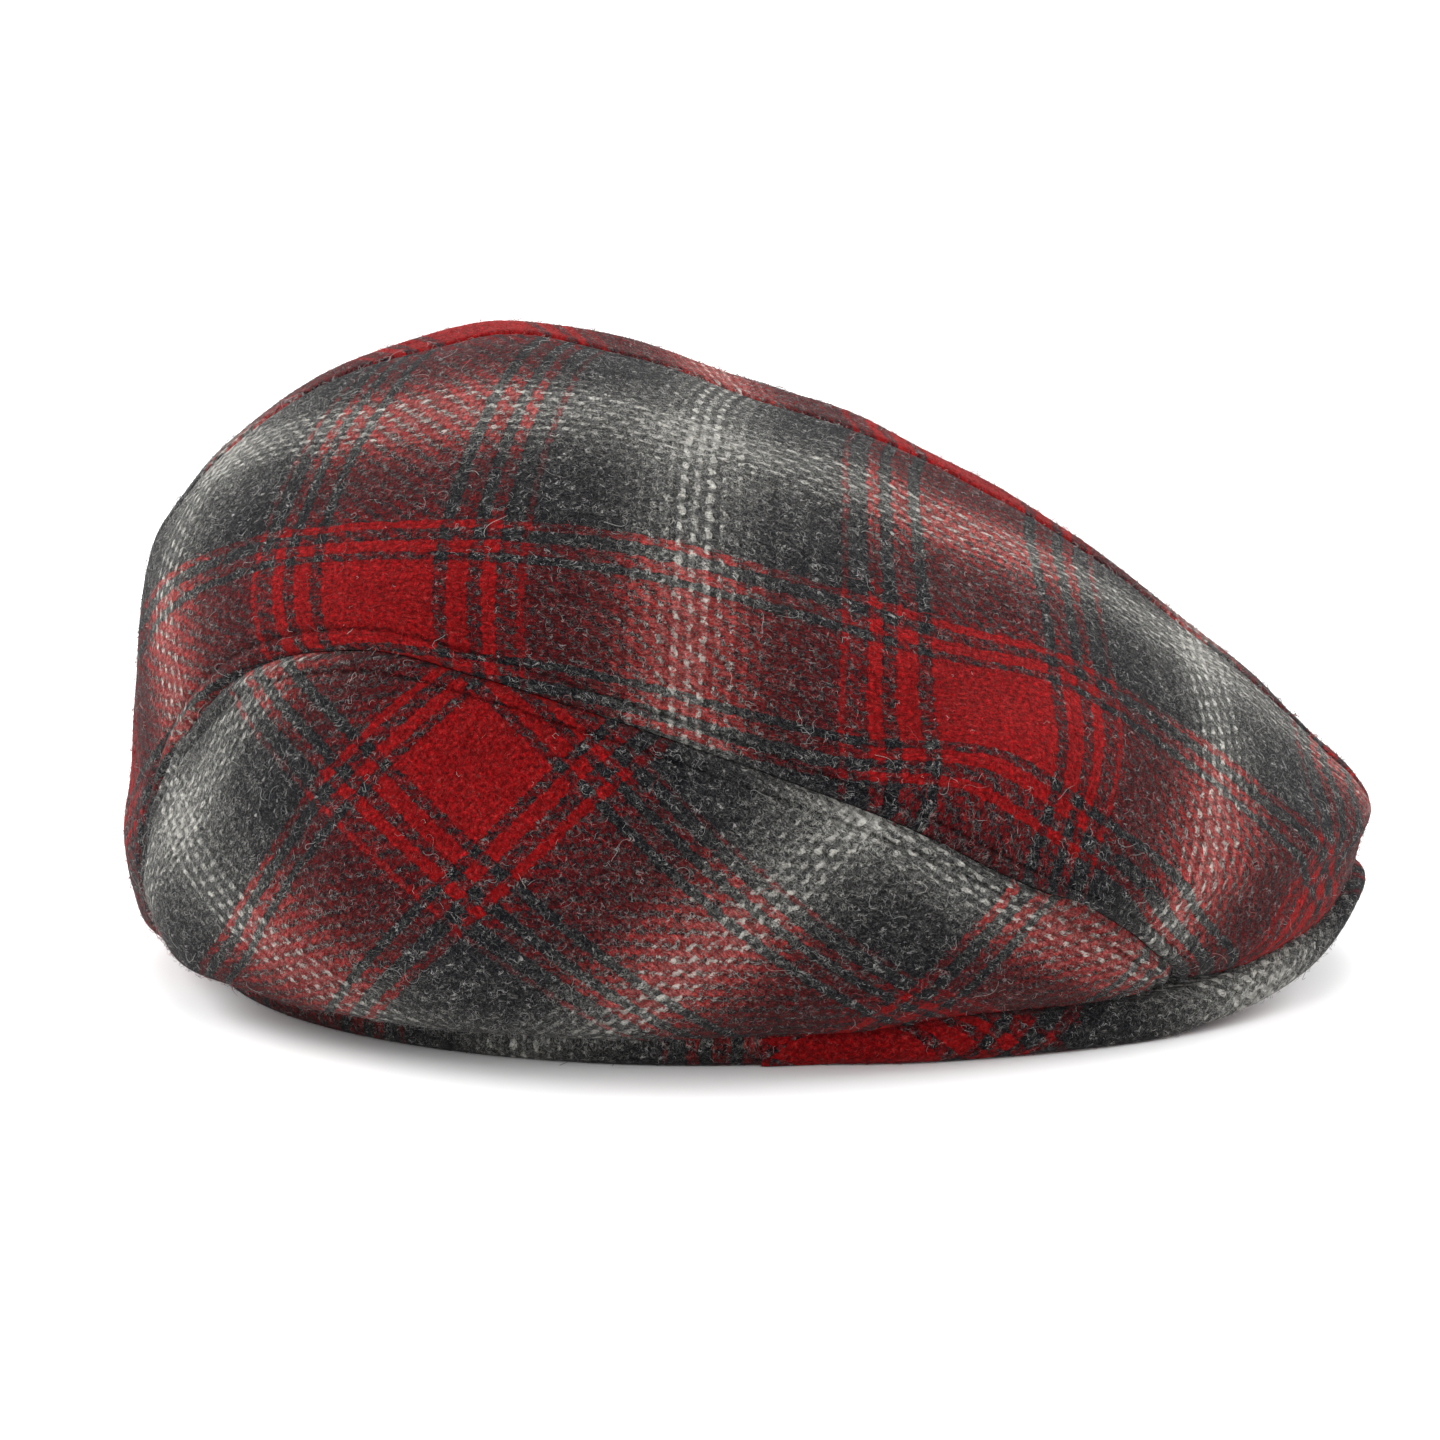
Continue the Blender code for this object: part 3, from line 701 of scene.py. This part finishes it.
def build_peak(material):
    """Peak: a stiffened leaf covered in cloth cut on the bias."""
    turns = np.linspace(-PEAK_END, PEAK_END, PEAK_SEGMENTS)
    points = np.stack([peak_section(turn) for turn in turns])
    sections, around = points.shape[:2]
    faces = ring_faces(sections, around, False)
    run = arc_lengths(points, 1) / MM
    along = (arc_lengths(points[:, 4:5], 0) / MM - PEAK_RED_ALONG) * PEAK_LIE_STRETCH
    lie = np.stack([along + run, run - along], axis=-1) * math.sqrt(0.5)
    section, place = faces // around, faces % around
    closing = np.where((place == 0) & (place.max(axis=1, keepdims=True) > 1), 1.0, 0.0)
    flat_lie = lie.reshape(-1, 2)
    corners = flat_lie[faces.reshape(-1)]
    last = (run[:, -1] + np.linalg.norm(points[:, -1] - points[:, 0], axis=-1) / MM)[section]
    corners += (closing * last).reshape(-1, 1) * math.sqrt(0.5)
    caps = [np.arange(around)[::-1], (sections - 1) * around + np.arange(around)]
    corners = np.concatenate([corners, flat_lie[caps[0]], flat_lie[caps[1]]])
    far = np.full_like(corners, FAR_FROM_SEAM)
    faces = faces.tolist() + [cap.tolist() for cap in caps]
    thing = add_mesh("peak_cloth", points.reshape(-1, 3), faces, {"Cloth": corners, "Seam": far}, material)
    thing.data.set_sharp_from_angle(angle=PEAK_CREASE)
    return thing, points[:, PEAK_OUTER_FACE], lie[:, PEAK_OUTER_FACE]


class Graph:
    """Short-hand for adding linked shader nodes to a tree."""

    def __init__(self, tree):
        self.tree = tree

    def node(self, kind, inputs=(), **settings):
        prefix = "Node" if kind in ("GroupInput", "GroupOutput") else "ShaderNode"
        node = self.tree.nodes.new(prefix + kind)
        for key, value in settings.items():
            setattr(node, key, value)
        for place, value in dict(inputs).items():
            self.feed(node.inputs[place], value)
        return node

    def feed(self, socket, value):
        if isinstance(value, bpy.types.NodeSocket):
            self.tree.links.new(value, socket)
        else:
            socket.default_value = value

    def math(self, operation, *values):
        return self.node("Math", enumerate(values), operation=operation).outputs[0]

    def plus(self, a, b):
        return self.math("ADD", a, b)

    def minus(self, a, b):
        return self.math("SUBTRACT", a, b)

    def times(self, a, b):
        return self.math("MULTIPLY", a, b)

    def scaled(self, vector, factor):
        return self.node("VectorMath", {0: vector, "Scale": factor}, operation="SCALE").outputs[0]

    def ease(self, value, low, high, out_low=0.0, out_high=1.0, kind="SMOOTHSTEP"):
        inputs = {"Value": value, "From Min": low, "From Max": high, "To Min": out_low, "To Max": out_high}
        return self.node("MapRange", inputs, interpolation_type=kind, clamp=True).outputs["Result"]

    def slide(self, value, low, high, out_low, out_high):
        return self.ease(value, low, high, out_low, out_high, "LINEAR")

    def blend(self, factor, a, b):
        return self.node("Mix", {0: factor, 6: a, 7: b}, data_type="RGBA").outputs[2]

    def lerp(self, factor, a, b):
        return self.node("Mix", {0: factor, 2: a, 3: b}, data_type="FLOAT").outputs[0]

    def noise(self, vector, scale, detail=2.0, roughness=0.5, distortion=0.0, output="Fac"):
        inputs = {"Vector": vector, "Scale": scale, "Detail": detail, "Roughness": roughness,
                  "Distortion": distortion}
        return self.node("TexNoise", inputs, noise_dimensions="2D").outputs[output]

    def ramp(self, factor, stops, stepped=False):
        node = self.node("ValToRGB", {0: factor})
        node.color_ramp.interpolation = "CONSTANT" if stepped else "LINEAR"
        elements = node.color_ramp.elements
        while len(elements) > 1:
            elements.remove(elements[-1])
        elements[0].position = stops[0][0]
        elements[0].color = (*[stops[0][1]] * 3, 1.0)
        for place, value in stops[1:]:
            elements.new(place).color = (value, value, value, 1.0)
        return node.outputs["Color"]


# Colours of the wool
BLACK_WOOL = (0.0040, 0.0044, 0.0070, 1.0)
LIGHT_WOOL = (0.410, 0.400, 0.360, 1.0)
DEEP_RED = (0.100, 0.0013, 0.0018, 1.0)
BRIGHT_RED = (0.292, 0.0042, 0.0058, 1.0)
PALE_RED = (0.55, 0.28, 0.24, 1.0)
FELTED_RED = (0.016, 0.004, 0.005, 1.0)
LIGHT_NAP = (0.335, 0.335, 0.315, 1.0)
RED_NAP = (0.400, 0.035, 0.035, 1.0)
PALE_HAIR = (0.430, 0.420, 0.400, 1.0)
LOOSE_LIGHT = (0.33, 0.33, 0.32, 1.0)
LOOSE_RED = (0.27, 0.015, 0.015, 1.0)
LOOSE_BRIGHT = (0.48, 0.45, 0.42, 1.0)
LOOSE_BLACK = (0.035, 0.035, 0.040, 1.0)
LOOSE_DEEP_RED = (0.22, 0.005, 0.007, 1.0)

# Order of the yarns from the middle of a red band (0) to the middle of a light band (1). RED_YARNS says
# where yarns are red. The others are black carded with light wool: LIGHT_YARNS gives its share in every
# second yarn and GREY_YARNS in those between.
RED_YARNS = (
    (0.0, 1.0), (0.205, 0.0), (0.250, 1.0), (0.318, 0.0), (0.363, 1.0), (0.409, 0.0),
    (0.477, 0.6), (0.500, 0.0),
)
LIGHT_YARNS = ((0.0, 0.0), (0.52, 0.02), (0.64, 0.06), (0.74, 0.13), (0.83, 0.31), (0.92, 0.61), (1.0, 0.84))
GREY_YARNS = ((0.0, 0.0), (0.54, 0.02), (0.68, 0.06), (0.80, 0.15), (0.91, 0.39), (1.0, 0.64))


def plaid_tree():
    """Node group: colour and height of brushed plaid twill at a place in cloth millimetres."""
    tree = bpy.data.node_groups.new("PlaidTwill", "ShaderNodeTree")
    face = tree.interface
    face.new_socket("Place", in_out="INPUT", socket_type="NodeSocketVector")
    for name in ("Color", "Height", "Light", "Red"):
        kind = "NodeSocketColor" if name == "Color" else "NodeSocketFloat"
        face.new_socket(name, in_out="OUTPUT", socket_type=kind)
    g = Graph(tree)
    place = g.node("GroupInput").outputs["Place"]

    # The yarns wander a little
    wander = g.noise(place, 0.55, output="Color")
    wander = g.node("VectorMath", {0: wander, 1: (0.5, 0.5, 0.5)}, operation="SUBTRACT").outputs[0]
    wander = g.scaled(wander, 1.5)
    moved = g.node("VectorMath", {0: place, 1: wander}, operation="ADD").outputs[0]
    split = g.node("SeparateXYZ", {0: moved})
    x = g.math("DIVIDE", split.outputs["X"], WARP_PITCH)
    y = g.math("DIVIDE", split.outputs["Y"], WEFT_PITCH)
    i, j = g.math("FLOOR", x), g.math("FLOOR", y)

    # Rise and fall of the two systems of yarns in two-and-two twill
    def rise(run, other, shift):
        turn = g.times(g.plus(g.minus(run, other), shift), 0.5 * math.pi)
        return g.math("COSINE", turn)

    def round_top(value):
        offset = g.minus(g.math("FRACT", value), 0.5)
        return g.minus(1.0, g.times(g.times(offset, offset), 4.0))

    def kinds(index, pitch, seed):
        """Whether a yarn is red, how light it is, its chance, how thin it is and how deep in the dark."""
        middle = g.times(g.plus(index, 0.5), pitch)
        share = g.math("DIVIDE", g.math("PINGPONG", middle, 0.5 * PERIOD), 0.5 * PERIOD)
        key = g.node("CombineXYZ", {0: index, 1: seed})
        chance = g.node("TexWhiteNoise", {"Vector": key.outputs[0]}, noise_dimensions="2D").outputs["Value"]
        red = g.ramp(share, RED_YARNS, stepped=True)
        second = g.math("MODULO", g.math("ABSOLUTE", index), 2.0)
        first_light = g.ramp(share, LIGHT_YARNS)
        light = g.lerp(second, first_light, g.ramp(share, GREY_YARNS))
        spread = g.times(g.minus(chance, 0.5), g.times(light, 0.3))
        thin = g.times(second, g.ease(first_light, 0.2, 0.8))
        deep = g.ease(share, 0.46, 0.56)
        return red, g.plus(light, spread), chance, thin, deep

    warp_red, warp_light, warp_chance, warp_thin, warp_deep = kinds(i, WARP_PITCH, 3.0)
    weft_red, weft_light, weft_chance, weft_thin, weft_deep = kinds(j, WEFT_PITCH, 7.0)
    warp_height = g.plus(rise(y, i, -1.0), g.times(round_top(x), 0.9))
    weft_height = g.plus(rise(x, j, 2.0), g.times(round_top(y), 0.9))
    warp_height = g.minus(warp_height, g.times(warp_thin, 1.5))
    weft_height = g.minus(weft_height, g.times(weft_thin, 1.2))
    both_light = g.plus(warp_light, weft_light)
    ragged = g.noise(place, 0.95, detail=4.0, roughness=0.7)
    ragged = g.times(g.minus(ragged, 0.5), g.slide(both_light, 0.0, 1.0, 15.0, 10.5))
    order = g.slide(both_light, 0.0, 1.0, 0.62, 1.0)
    lead = g.times(g.minus(warp_height, weft_height), order)
    lead = g.plus(lead, ragged)
    stout_red = g.minus(g.times(warp_red, weft_light), g.times(weft_red, warp_light))
    lead = g.plus(lead, g.times(stout_red, 0.75))
    warp_on_top = g.ease(lead, -0.65, 1.0)
    height = g.math("MAXIMUM", warp_height, weft_height)

    # The upper yarn, and the one below it
    red = g.lerp(warp_on_top, weft_red, warp_red)
    light = g.lerp(warp_on_top, weft_light, warp_light)
    chance = g.lerp(warp_on_top, weft_chance, warp_chance)
    red_below = g.lerp(warp_on_top, warp_red, weft_red)
    light_below = g.lerp(warp_on_top, warp_light, weft_light)
    deep_below = g.lerp(warp_on_top, warp_deep, weft_deep)

    # Fibres lie along their yarn, with a slight twist
    def streaks(across, along):
        stretched = g.node("CombineXYZ", {0: g.times(across, 2.3), 1: g.plus(g.times(along, 0.75), across)})
        return g.noise(stretched.outputs[0], 1.0, detail=3.0, roughness=0.65)

    streak = g.lerp(warp_on_top, streaks(split.outputs["Y"], split.outputs["X"]),
                    streaks(split.outputs["X"], split.outputs["Y"]))

    # Curly fibres: thin lines along the level curves of noise
    def curls(scale, width, seed):
        shifted = g.node("VectorMath", {0: place, 1: (seed, -seed, 0.0)}, operation="ADD").outputs[0]
        value = g.noise(shifted, scale, detail=1.5, roughness=0.6, distortion=0.6)
        off = g.math("ABSOLUTE", g.minus(value, 0.5))
        return g.math("DIVIDE", off, width)

    fine = curls(1.7, 0.045, 11.0)
    loose = curls(0.80, 0.040, 71.0)
    nearest = g.math("MINIMUM", fine, loose)
    tangle = g.math("MINIMUM", curls(2.3, 0.05, 131.0), curls(1.25, 0.032, 211.0))
    tangle = g.math("MINIMUM", nearest, tangle)

    # Black yarns are carded with light wool, the more the lighter they are
    carding = g.slide(light, 0.0, 1.0, 0.87, 0.20)
    carded = g.ease(g.minus(streak, carding), -0.07, 0.09, 0.0, 0.92)
    curl = g.times(g.ease(g.math("MINIMUM", g.times(fine, 1.5), loose), 0.2, 0.95, 1.0, 0.0),
                   g.slide(light, 0.0, 0.40, 0.12, 0.62))
    neutral = g.blend(g.math("MAXIMUM", carded, curl), BLACK_WOOL, LIGHT_WOOL)
    neutral_below = g.blend(light_below, BLACK_WOOL, LIGHT_WOOL)

    # Red yarns, darker where black wool is felted into them and paler beside light wool
    reds = g.blend(g.ease(streak, 0.28, 0.68), DEEP_RED, BRIGHT_RED)
    pale_on_red = g.times(g.ease(nearest, 0.1, 0.8, 1.0, 0.0), g.slide(light_below, 0.0, 0.8, 0.04, 0.40))
    reds = g.blend(pale_on_red, reds, PALE_RED)
    beside_black = g.times(g.minus(1.0, red_below), g.ease(light_below, 0.0, 0.4, 1.0, 0.0))
    dull = g.ease(g.times(beside_black, g.ease(streak, 0.3, 0.75, 1.0, 0.55)), 0.0, 1.0)
    reds = g.blend(g.times(dull, g.ease(deep_below, 0.0, 1.0, 0.50, 0.90)), reds, FELTED_RED)
    colour = g.blend(red, neutral, reds)
    below = g.blend(red_below, neutral_below, DEEP_RED)
    felted = g.ease(g.noise(place, 2.6, detail=3.0, roughness=0.65), 0.40, 0.68, 0.0, 0.24)
    felted = g.times(felted, g.plus(1.0, g.times(beside_black, 1.6)))
    colour = g.blend(felted, colour, below)

    # Nap of fine curls brushed out of both yarns
    nearby = g.times(g.plus(light, light_below), 0.5)
    nap_cover = g.times(g.ease(tangle, 0.1, 1.3, 1.0, 0.0), g.slide(nearby, 0.10, 0.85, 0.0, 0.66))
    red_share = g.times(g.plus(red, red_below), 0.5)
    nap_colour = g.blend(red_share, LIGHT_NAP, RED_NAP)
    colour = g.blend(nap_cover, colour, nap_colour)

    # Single pale hairs, most of them where the cloth is dark
    patches = g.ease(g.noise(place, 0.33, detail=1.0), 0.44, 0.60)
    hair = g.times(g.ease(curls(0.62, 0.016, 307.0), 0.3, 1.1, 1.0, 0.0), patches)
    hair = g.times(hair, g.slide(nearby, 0.0, 0.6, 0.62, 0.30))
    hair = g.times(hair, g.slide(red_share, 0.0, 0.9, 1.0, 0.06))
    colour = g.blend(hair, colour, PALE_HAIR)

    # Shade between the yarns, brushed over by the nap, and slow changes across the cloth
    cleft = g.ease(height, 0.30, 1.55, 0.66, 1.06)
    tuft = g.ease(g.noise(place, 0.85, detail=3.0, roughness=0.6), 0.30, 0.70, 0.60, 1.28)
    slow = g.ease(g.noise(place, 0.045, detail=2.0), 0.3, 0.7, 0.92, 1.08)
    yarn_tone = g.slide(chance, 0.0, 1.0, 0.86, 1.12)
    shade = g.times(g.times(cleft, tuft), g.times(slow, yarn_tone))
    colour = g.scaled(colour, shade)

    nap = g.times(g.ease(tangle, 0.0, 1.4, 1.0, 0.0), 0.42)
    relief = g.plus(g.times(height, 0.20), nap)
    relief = g.plus(relief, g.times(streak, 0.5))
    out = g.node("GroupOutput")
    for name, value in (("Color", colour), ("Height", relief), ("Light", light), ("Red", red)):
        g.feed(out.inputs[name], value)
    return tree


def new_material(name, settings):
    """New material, its graph and its shader, with constant settings on the shader."""
    material = bpy.data.materials.new(name)
    material.use_nodes = True
    shader = material.node_tree.nodes["Principled BSDF"]
    for key, value in settings.items():
        shader.inputs[key].default_value = value
    return material, Graph(material.node_tree), shader


def plaid_here(g, plaid):
    place = g.node("UVMap", uv_map="Cloth").outputs["UV"]
    return place, g.node("Group", {"Place": place}, node_tree=plaid).outputs


def wool_cloth(name, plaid):
    """Brushed wool with the plaid, a stitched groove beside the seams darkened with painted shade, and a
    fuzzy sheen.
    """
    material, g, shader = new_material(name, {
        "Specular IOR Level": 0.04, "Sheen Weight": 0.07, "Sheen Roughness": 0.20,
        "Sheen Tint": (1.0, 0.96, 0.94, 1.0)})
    place, cloth = plaid_here(g, plaid)
    seam = g.node("SeparateXYZ", {0: g.node("UVMap", uv_map="Seam").outputs["UV"]})
    along, away = seam.outputs["X"], seam.outputs["Y"]

    # Topstitching sunk in the nap: painted shade darkens its groove in a broken line
    wobble = g.times(g.minus(g.noise(place, 0.25), 0.5), 0.9)
    off = g.math("ABSOLUTE", g.minus(g.plus(away, wobble), GROOVE_SET_BACK / MM))
    line = g.ease(off, 0.05, 0.75, 1.0, 0.0)
    stitch = g.math("PINGPONG", along, 1.6)
    held = g.ease(stitch, 0.15, 0.7, 0.35, 1.0)
    groove = g.times(line, held)
    # Painted shade: the cloth's colour is darkened along the stitched groove
    groove_shade = g.minus(1.0, g.times(groove, 0.60))
    g.feed(shader.inputs["Base Color"], g.scaled(cloth["Color"], groove_shade))
    relief = g.minus(cloth["Height"], g.times(groove, 0.9))
    bump = g.node("Bump", {"Strength": 0.65, "Distance": 0.00045 * SCALE, "Height": relief})
    g.feed(shader.inputs["Normal"], bump.outputs["Normal"])
    g.feed(shader.inputs["Roughness"], g.slide(cloth["Light"], 0.0, 1.0, 0.90, 1.0))
    return material


def raised_fibres(name, outer, lie, side, count, spans, seed, material):
    """Loose wool fibres standing out of a grid's face, each a thin closed tube. spans lists their kinds."""
    random = np.random.default_rng(seed)
    mirror = np.array([1.0, -side, 1.0])
    du = np.linalg.norm(np.diff(outer[:, :-1], axis=0), axis=-1)
    dv = np.linalg.norm(np.diff(outer[:-1], axis=1), axis=-1)
    area = (du * dv).ravel()
    chance = area / area.sum()
    all_points, all_faces, all_lie = [], [], []
    start = 0
    for share, segments, lengths, rises, radius in spans:
        number = int(count * share)

        def spread(low, high):
            return random.uniform(low, high, (number, 1))

        cell = random.choice(len(area), size=number, p=chance)
        r, c = cell // (outer.shape[1] - 1), cell % (outer.shape[1] - 1)
        fr, fc = random.random((2, number, 1))
        corner = outer[r, c]
        along_row, along_column = outer[r + 1, c] - corner, outer[r, c + 1] - corner
        root = corner + along_row * fr + along_column * fc
        root_lie = lie[r, c] + (lie[r + 1, c] - lie[r, c]) * fr + (lie[r, c + 1] - lie[r, c]) * fc
        normal = unit(np.cross(along_row, along_column))
        outward = np.sum(normal * (root - HEART), axis=-1, keepdims=True)
        normal *= np.sign(outward)
        first = unit(along_row)
        second = np.cross(normal, first)
        length = spread(*lengths) * SCALE
        rise = spread(*rises) * SCALE
        knots = np.linspace(0.0, 1.0, segments + 1)
        turn = spread(0.0, 2.0 * math.pi)
        bend = random.normal(0.0, 2.6, (number, 1))
        wave = spread(0.5, 2.2)
        swing = spread(0.2, 1.3)
        phase = spread(0.0, 2.0 * math.pi)
        angle = turn + bend * knots + wave * np.sin(2.0 * math.pi * swing * knots * 1.5 + phase)
        step = length / segments
        flat_u, flat_v = (np.concatenate([np.zeros((number, 1)), np.cumsum(turned * step, axis=1)], axis=1)
                          for turned in (np.cos(angle[:, :-1]), np.sin(angle[:, :-1])))
        arch = np.sin(math.pi * np.clip(knots * spread(0.55, 1.05), 0.0, 1.0))
        lift = rise * arch - FIBRE_ROOT_DEPTH
        spine = (root[:, None] + first[:, None] * flat_u[..., None] + second[:, None] * flat_v[..., None]
                 + normal[:, None] * lift[..., None])
        spine[..., 2] = np.maximum(spine[..., 2], LOW[2] + 2.0 * radius * SCALE)
        tangent = np.gradient(spine, axis=1)
        tangent /= np.maximum(np.linalg.norm(tangent, axis=-1, keepdims=True), 1e-9)
        across = np.cross(tangent, normal[:, None])
        across /= np.maximum(np.linalg.norm(across, axis=-1, keepdims=True), 1e-6)
        up = np.cross(across, tangent)
        taper = radius * SCALE * (1.0 - 0.55 * knots ** 2) * spread(0.7, 1.2)
        ring = []
        for k in range(3):
            a = 2.0 * math.pi * k / 3
            ring.append(spine + (across * math.cos(a) + up * math.sin(a)) * taper[..., None])
        tube = np.stack(ring, axis=2)
        points = tube.reshape(-1, 3) * mirror
        base = start + np.arange(number)[:, None] * (segments + 1) * 3
        pattern = []
        for k in range(segments):
            for m in range(3):
                n = (m + 1) % 3
                a, b, p, q = k * 3 + m, k * 3 + n, (k + 1) * 3 + n, (k + 1) * 3 + m
                pattern += [(a, b, p), (a, p, q)]
        pattern += [(2, 1, 0), (segments * 3, segments * 3 + 1, segments * 3 + 2)]
        faces = (base[:, :, None] + np.array(pattern)[None]).reshape(-1, 3)
        all_points.append(points)
        all_faces.append(faces)
        all_lie.append(np.repeat(root_lie, len(pattern) * 3, axis=0))
        start += len(points)
    faces = np.concatenate(all_faces)
    if side > 0.0:
        faces = faces[:, ::-1]
    return add_mesh(name, np.concatenate(all_points), faces, {"Cloth": np.concatenate(all_lie)}, material)


def fibre_wool(name, plaid):
    """Loose fibres: light wool and wool of the yarn that they come from."""
    material, g, shader = new_material(name, {
        "Roughness": 0.8, "Specular IOR Level": 0.05, "Sheen Weight": 0.06, "Sheen Roughness": 0.3})
    place, cloth = plaid_here(g, plaid)
    key = g.scaled(place, 91.7)
    chance = g.node("TexWhiteNoise", {"Vector": key}, noise_dimensions="2D").outputs["Value"]
    pale = g.blend(cloth["Red"], LOOSE_LIGHT, LOOSE_RED)
    pale = g.blend(g.ease(chance, 0.975, 0.980), pale, LOOSE_BRIGHT)
    own = g.blend(cloth["Red"], LOOSE_BLACK, LOOSE_DEEP_RED)
    g.feed(shader.inputs["Base Color"], g.blend(g.ease(chance, 0.55, 0.58), own, pale))
    return material


# Loose fibres on the crown and on the band and peak: share of their count, segments, lengths, rise, radius
CROWN_FIBRES = (
    (0.91, 3, (0.0008, 0.0026), (0.0002, 0.0010), 0.000042),
    (0.09, 8, (0.0035, 0.0085), (0.0004, 0.0013), 0.000048),
)
EDGE_FIBRES = (
    (0.93, 3, (0.0008, 0.0024), (0.0002, 0.0009), 0.000042),
    (0.07, 8, (0.0030, 0.0060), (0.0004, 0.0012), 0.000048),
)
TOP_FIBRE_COUNT = 8600
SIDE_FIBRE_COUNT = 5500
BAND_FIBRE_COUNT = 1900
PEAK_FIBRE_COUNT = 1300


def declare(piece, node=None):
    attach(piece, "root")
    if node:
        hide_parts(node)


def dress_crown(plaid):
    top_wool = wool_cloth("top_wool", plaid)
    side_wool = wool_cloth("side_wool", plaid)
    loose_wool = fibre_wool("loose_wool", plaid)
    top_outer, top_inner, top_lie, top_seam = top_panel_sheets()
    flank = side_panel_sheets()
    for side, word, seed in ((-1.0, "right", 21), (1.0, "left", 22)):
        lie = top_lie_in_periods(top_lie, side)
        panel = sheet_piece("top_cloth_" + word, top_outer, top_inner, lie, top_seam, side, top_wool)
        declare(panel, "top_panel_" + word)
        nap = raised_fibres("top_nap_" + word, top_outer, lie, side, TOP_FIBRE_COUNT, CROWN_FIBRES,
                            seed, loose_wool)
        declare(nap)
        panel = sheet_piece("side_cloth_" + word, *flank, side, side_wool)
        declare(panel, "side_panel_" + word)
        nap = raised_fibres("side_nap_" + word, flank[0], flank[2], side, SIDE_FIBRE_COUNT, CROWN_FIBRES,
                            seed + 10, loose_wool)
        declare(nap)


def dress_band_and_peak(plaid):
    loose_wool = fibre_wool("loose_edge_wool", plaid)
    band, face, lie = build_band(wool_cloth("band_wool", plaid))
    declare(band, "band")
    nap = raised_fibres("band_nap", face, lie, -1.0, BAND_FIBRE_COUNT, EDGE_FIBRES, 41, loose_wool)
    declare(nap)
    peak, face, lie = build_peak(wool_cloth("peak_wool", plaid))
    declare(peak, "peak")
    nap = raised_fibres("peak_nap", face, lie, -1.0, PEAK_FIBRE_COUNT, EDGE_FIBRES, 42, loose_wool)
    declare(nap)


# Camera: elevation, distance, lens for a 36 mm sensor, and the point that it looks at
CAMERA_ELEVATION = math.radians(14.0)
CAMERA_DISTANCE = 2.400
CAMERA_LENS = 280.8
CAMERA_TARGET = (-0.00595, 0.0, 0.0530)


def aim(thing, target):
    direction = np.array(target) - np.array(thing.location)
    heading = math.atan2(direction[1], direction[0])
    tilt = math.atan2(direction[2], math.hypot(direction[0], direction[1]))
    thing.rotation_euler = (math.pi / 2.0 + tilt, 0.0, heading - math.pi / 2.0)


def build_camera():
    data = bpy.data.cameras.new("camera")
    data.lens = CAMERA_LENS
    data.sensor_width = 36.0
    data.clip_start = 0.1
    data.clip_end = 50.0
    camera = add_object("camera", data)
    back = np.array([0.0, -math.cos(CAMERA_ELEVATION), math.sin(CAMERA_ELEVATION)])
    camera.location = tuple(np.array(CAMERA_TARGET) + back * CAMERA_DISTANCE)
    aim(camera, CAMERA_TARGET)
    bpy.context.scene.camera = camera


# Soft boxes: name, place, size and power
LIGHTS = (
    ("overhead", (0.0, 0.20, 1.50), 1.40, 9.0),
    ("behind_left", (-1.50, 0.65, 0.95), 1.20, 36.0),
    ("behind_right", (1.50, 0.65, 0.95), 1.20, 29.0),
    ("behind", (0.0, 1.50, 1.00), 1.40, 4.0),
)
LIGHT_TARGET = (0.0, 0.0, 0.05)
FLOOR_REACH = 6.0
FLOOR_DROP = 0.0002
WORLD_STRENGTH = 1.1


def build_studio():
    world = bpy.data.worlds.new("studio")
    bpy.context.scene.world = world
    world.use_nodes = True
    background = world.node_tree.nodes["Background"]
    background.inputs["Color"].default_value = (1.0, 1.0, 1.0, 1.0)
    background.inputs["Strength"].default_value = WORLD_STRENGTH
    for name, place, size, power in LIGHTS:
        data = bpy.data.lights.new(name, "AREA")
        data.shape = "DISK"
        data.size = size
        data.energy = power
        lamp = add_object(name, data)
        lamp.location = place
        aim(lamp, LIGHT_TARGET)
    material, _, _ = new_material("pale_floor", {
        "Base Color": (0.93, 0.93, 0.93, 1.0), "Roughness": 0.9, "Specular IOR Level": 0.1})
    corners = np.array([(-1.0, -1.0, 0.0), (1.0, -1.0, 0.0), (1.0, 1.0, 0.0), (-1.0, 1.0, 0.0)])
    floor = add_mesh("floor", FLOOR_REACH * corners, [[0, 1, 2, 3]], {}, material)
    floor.location = (0.0, 0.0, LOW[2] - FLOOR_DROP)
    bpy.context.scene.view_settings.view_transform = "Standard"


build_camera()
plaid = plaid_tree()
dress_crown(plaid)
dress_band_and_peak(plaid)
build_studio()
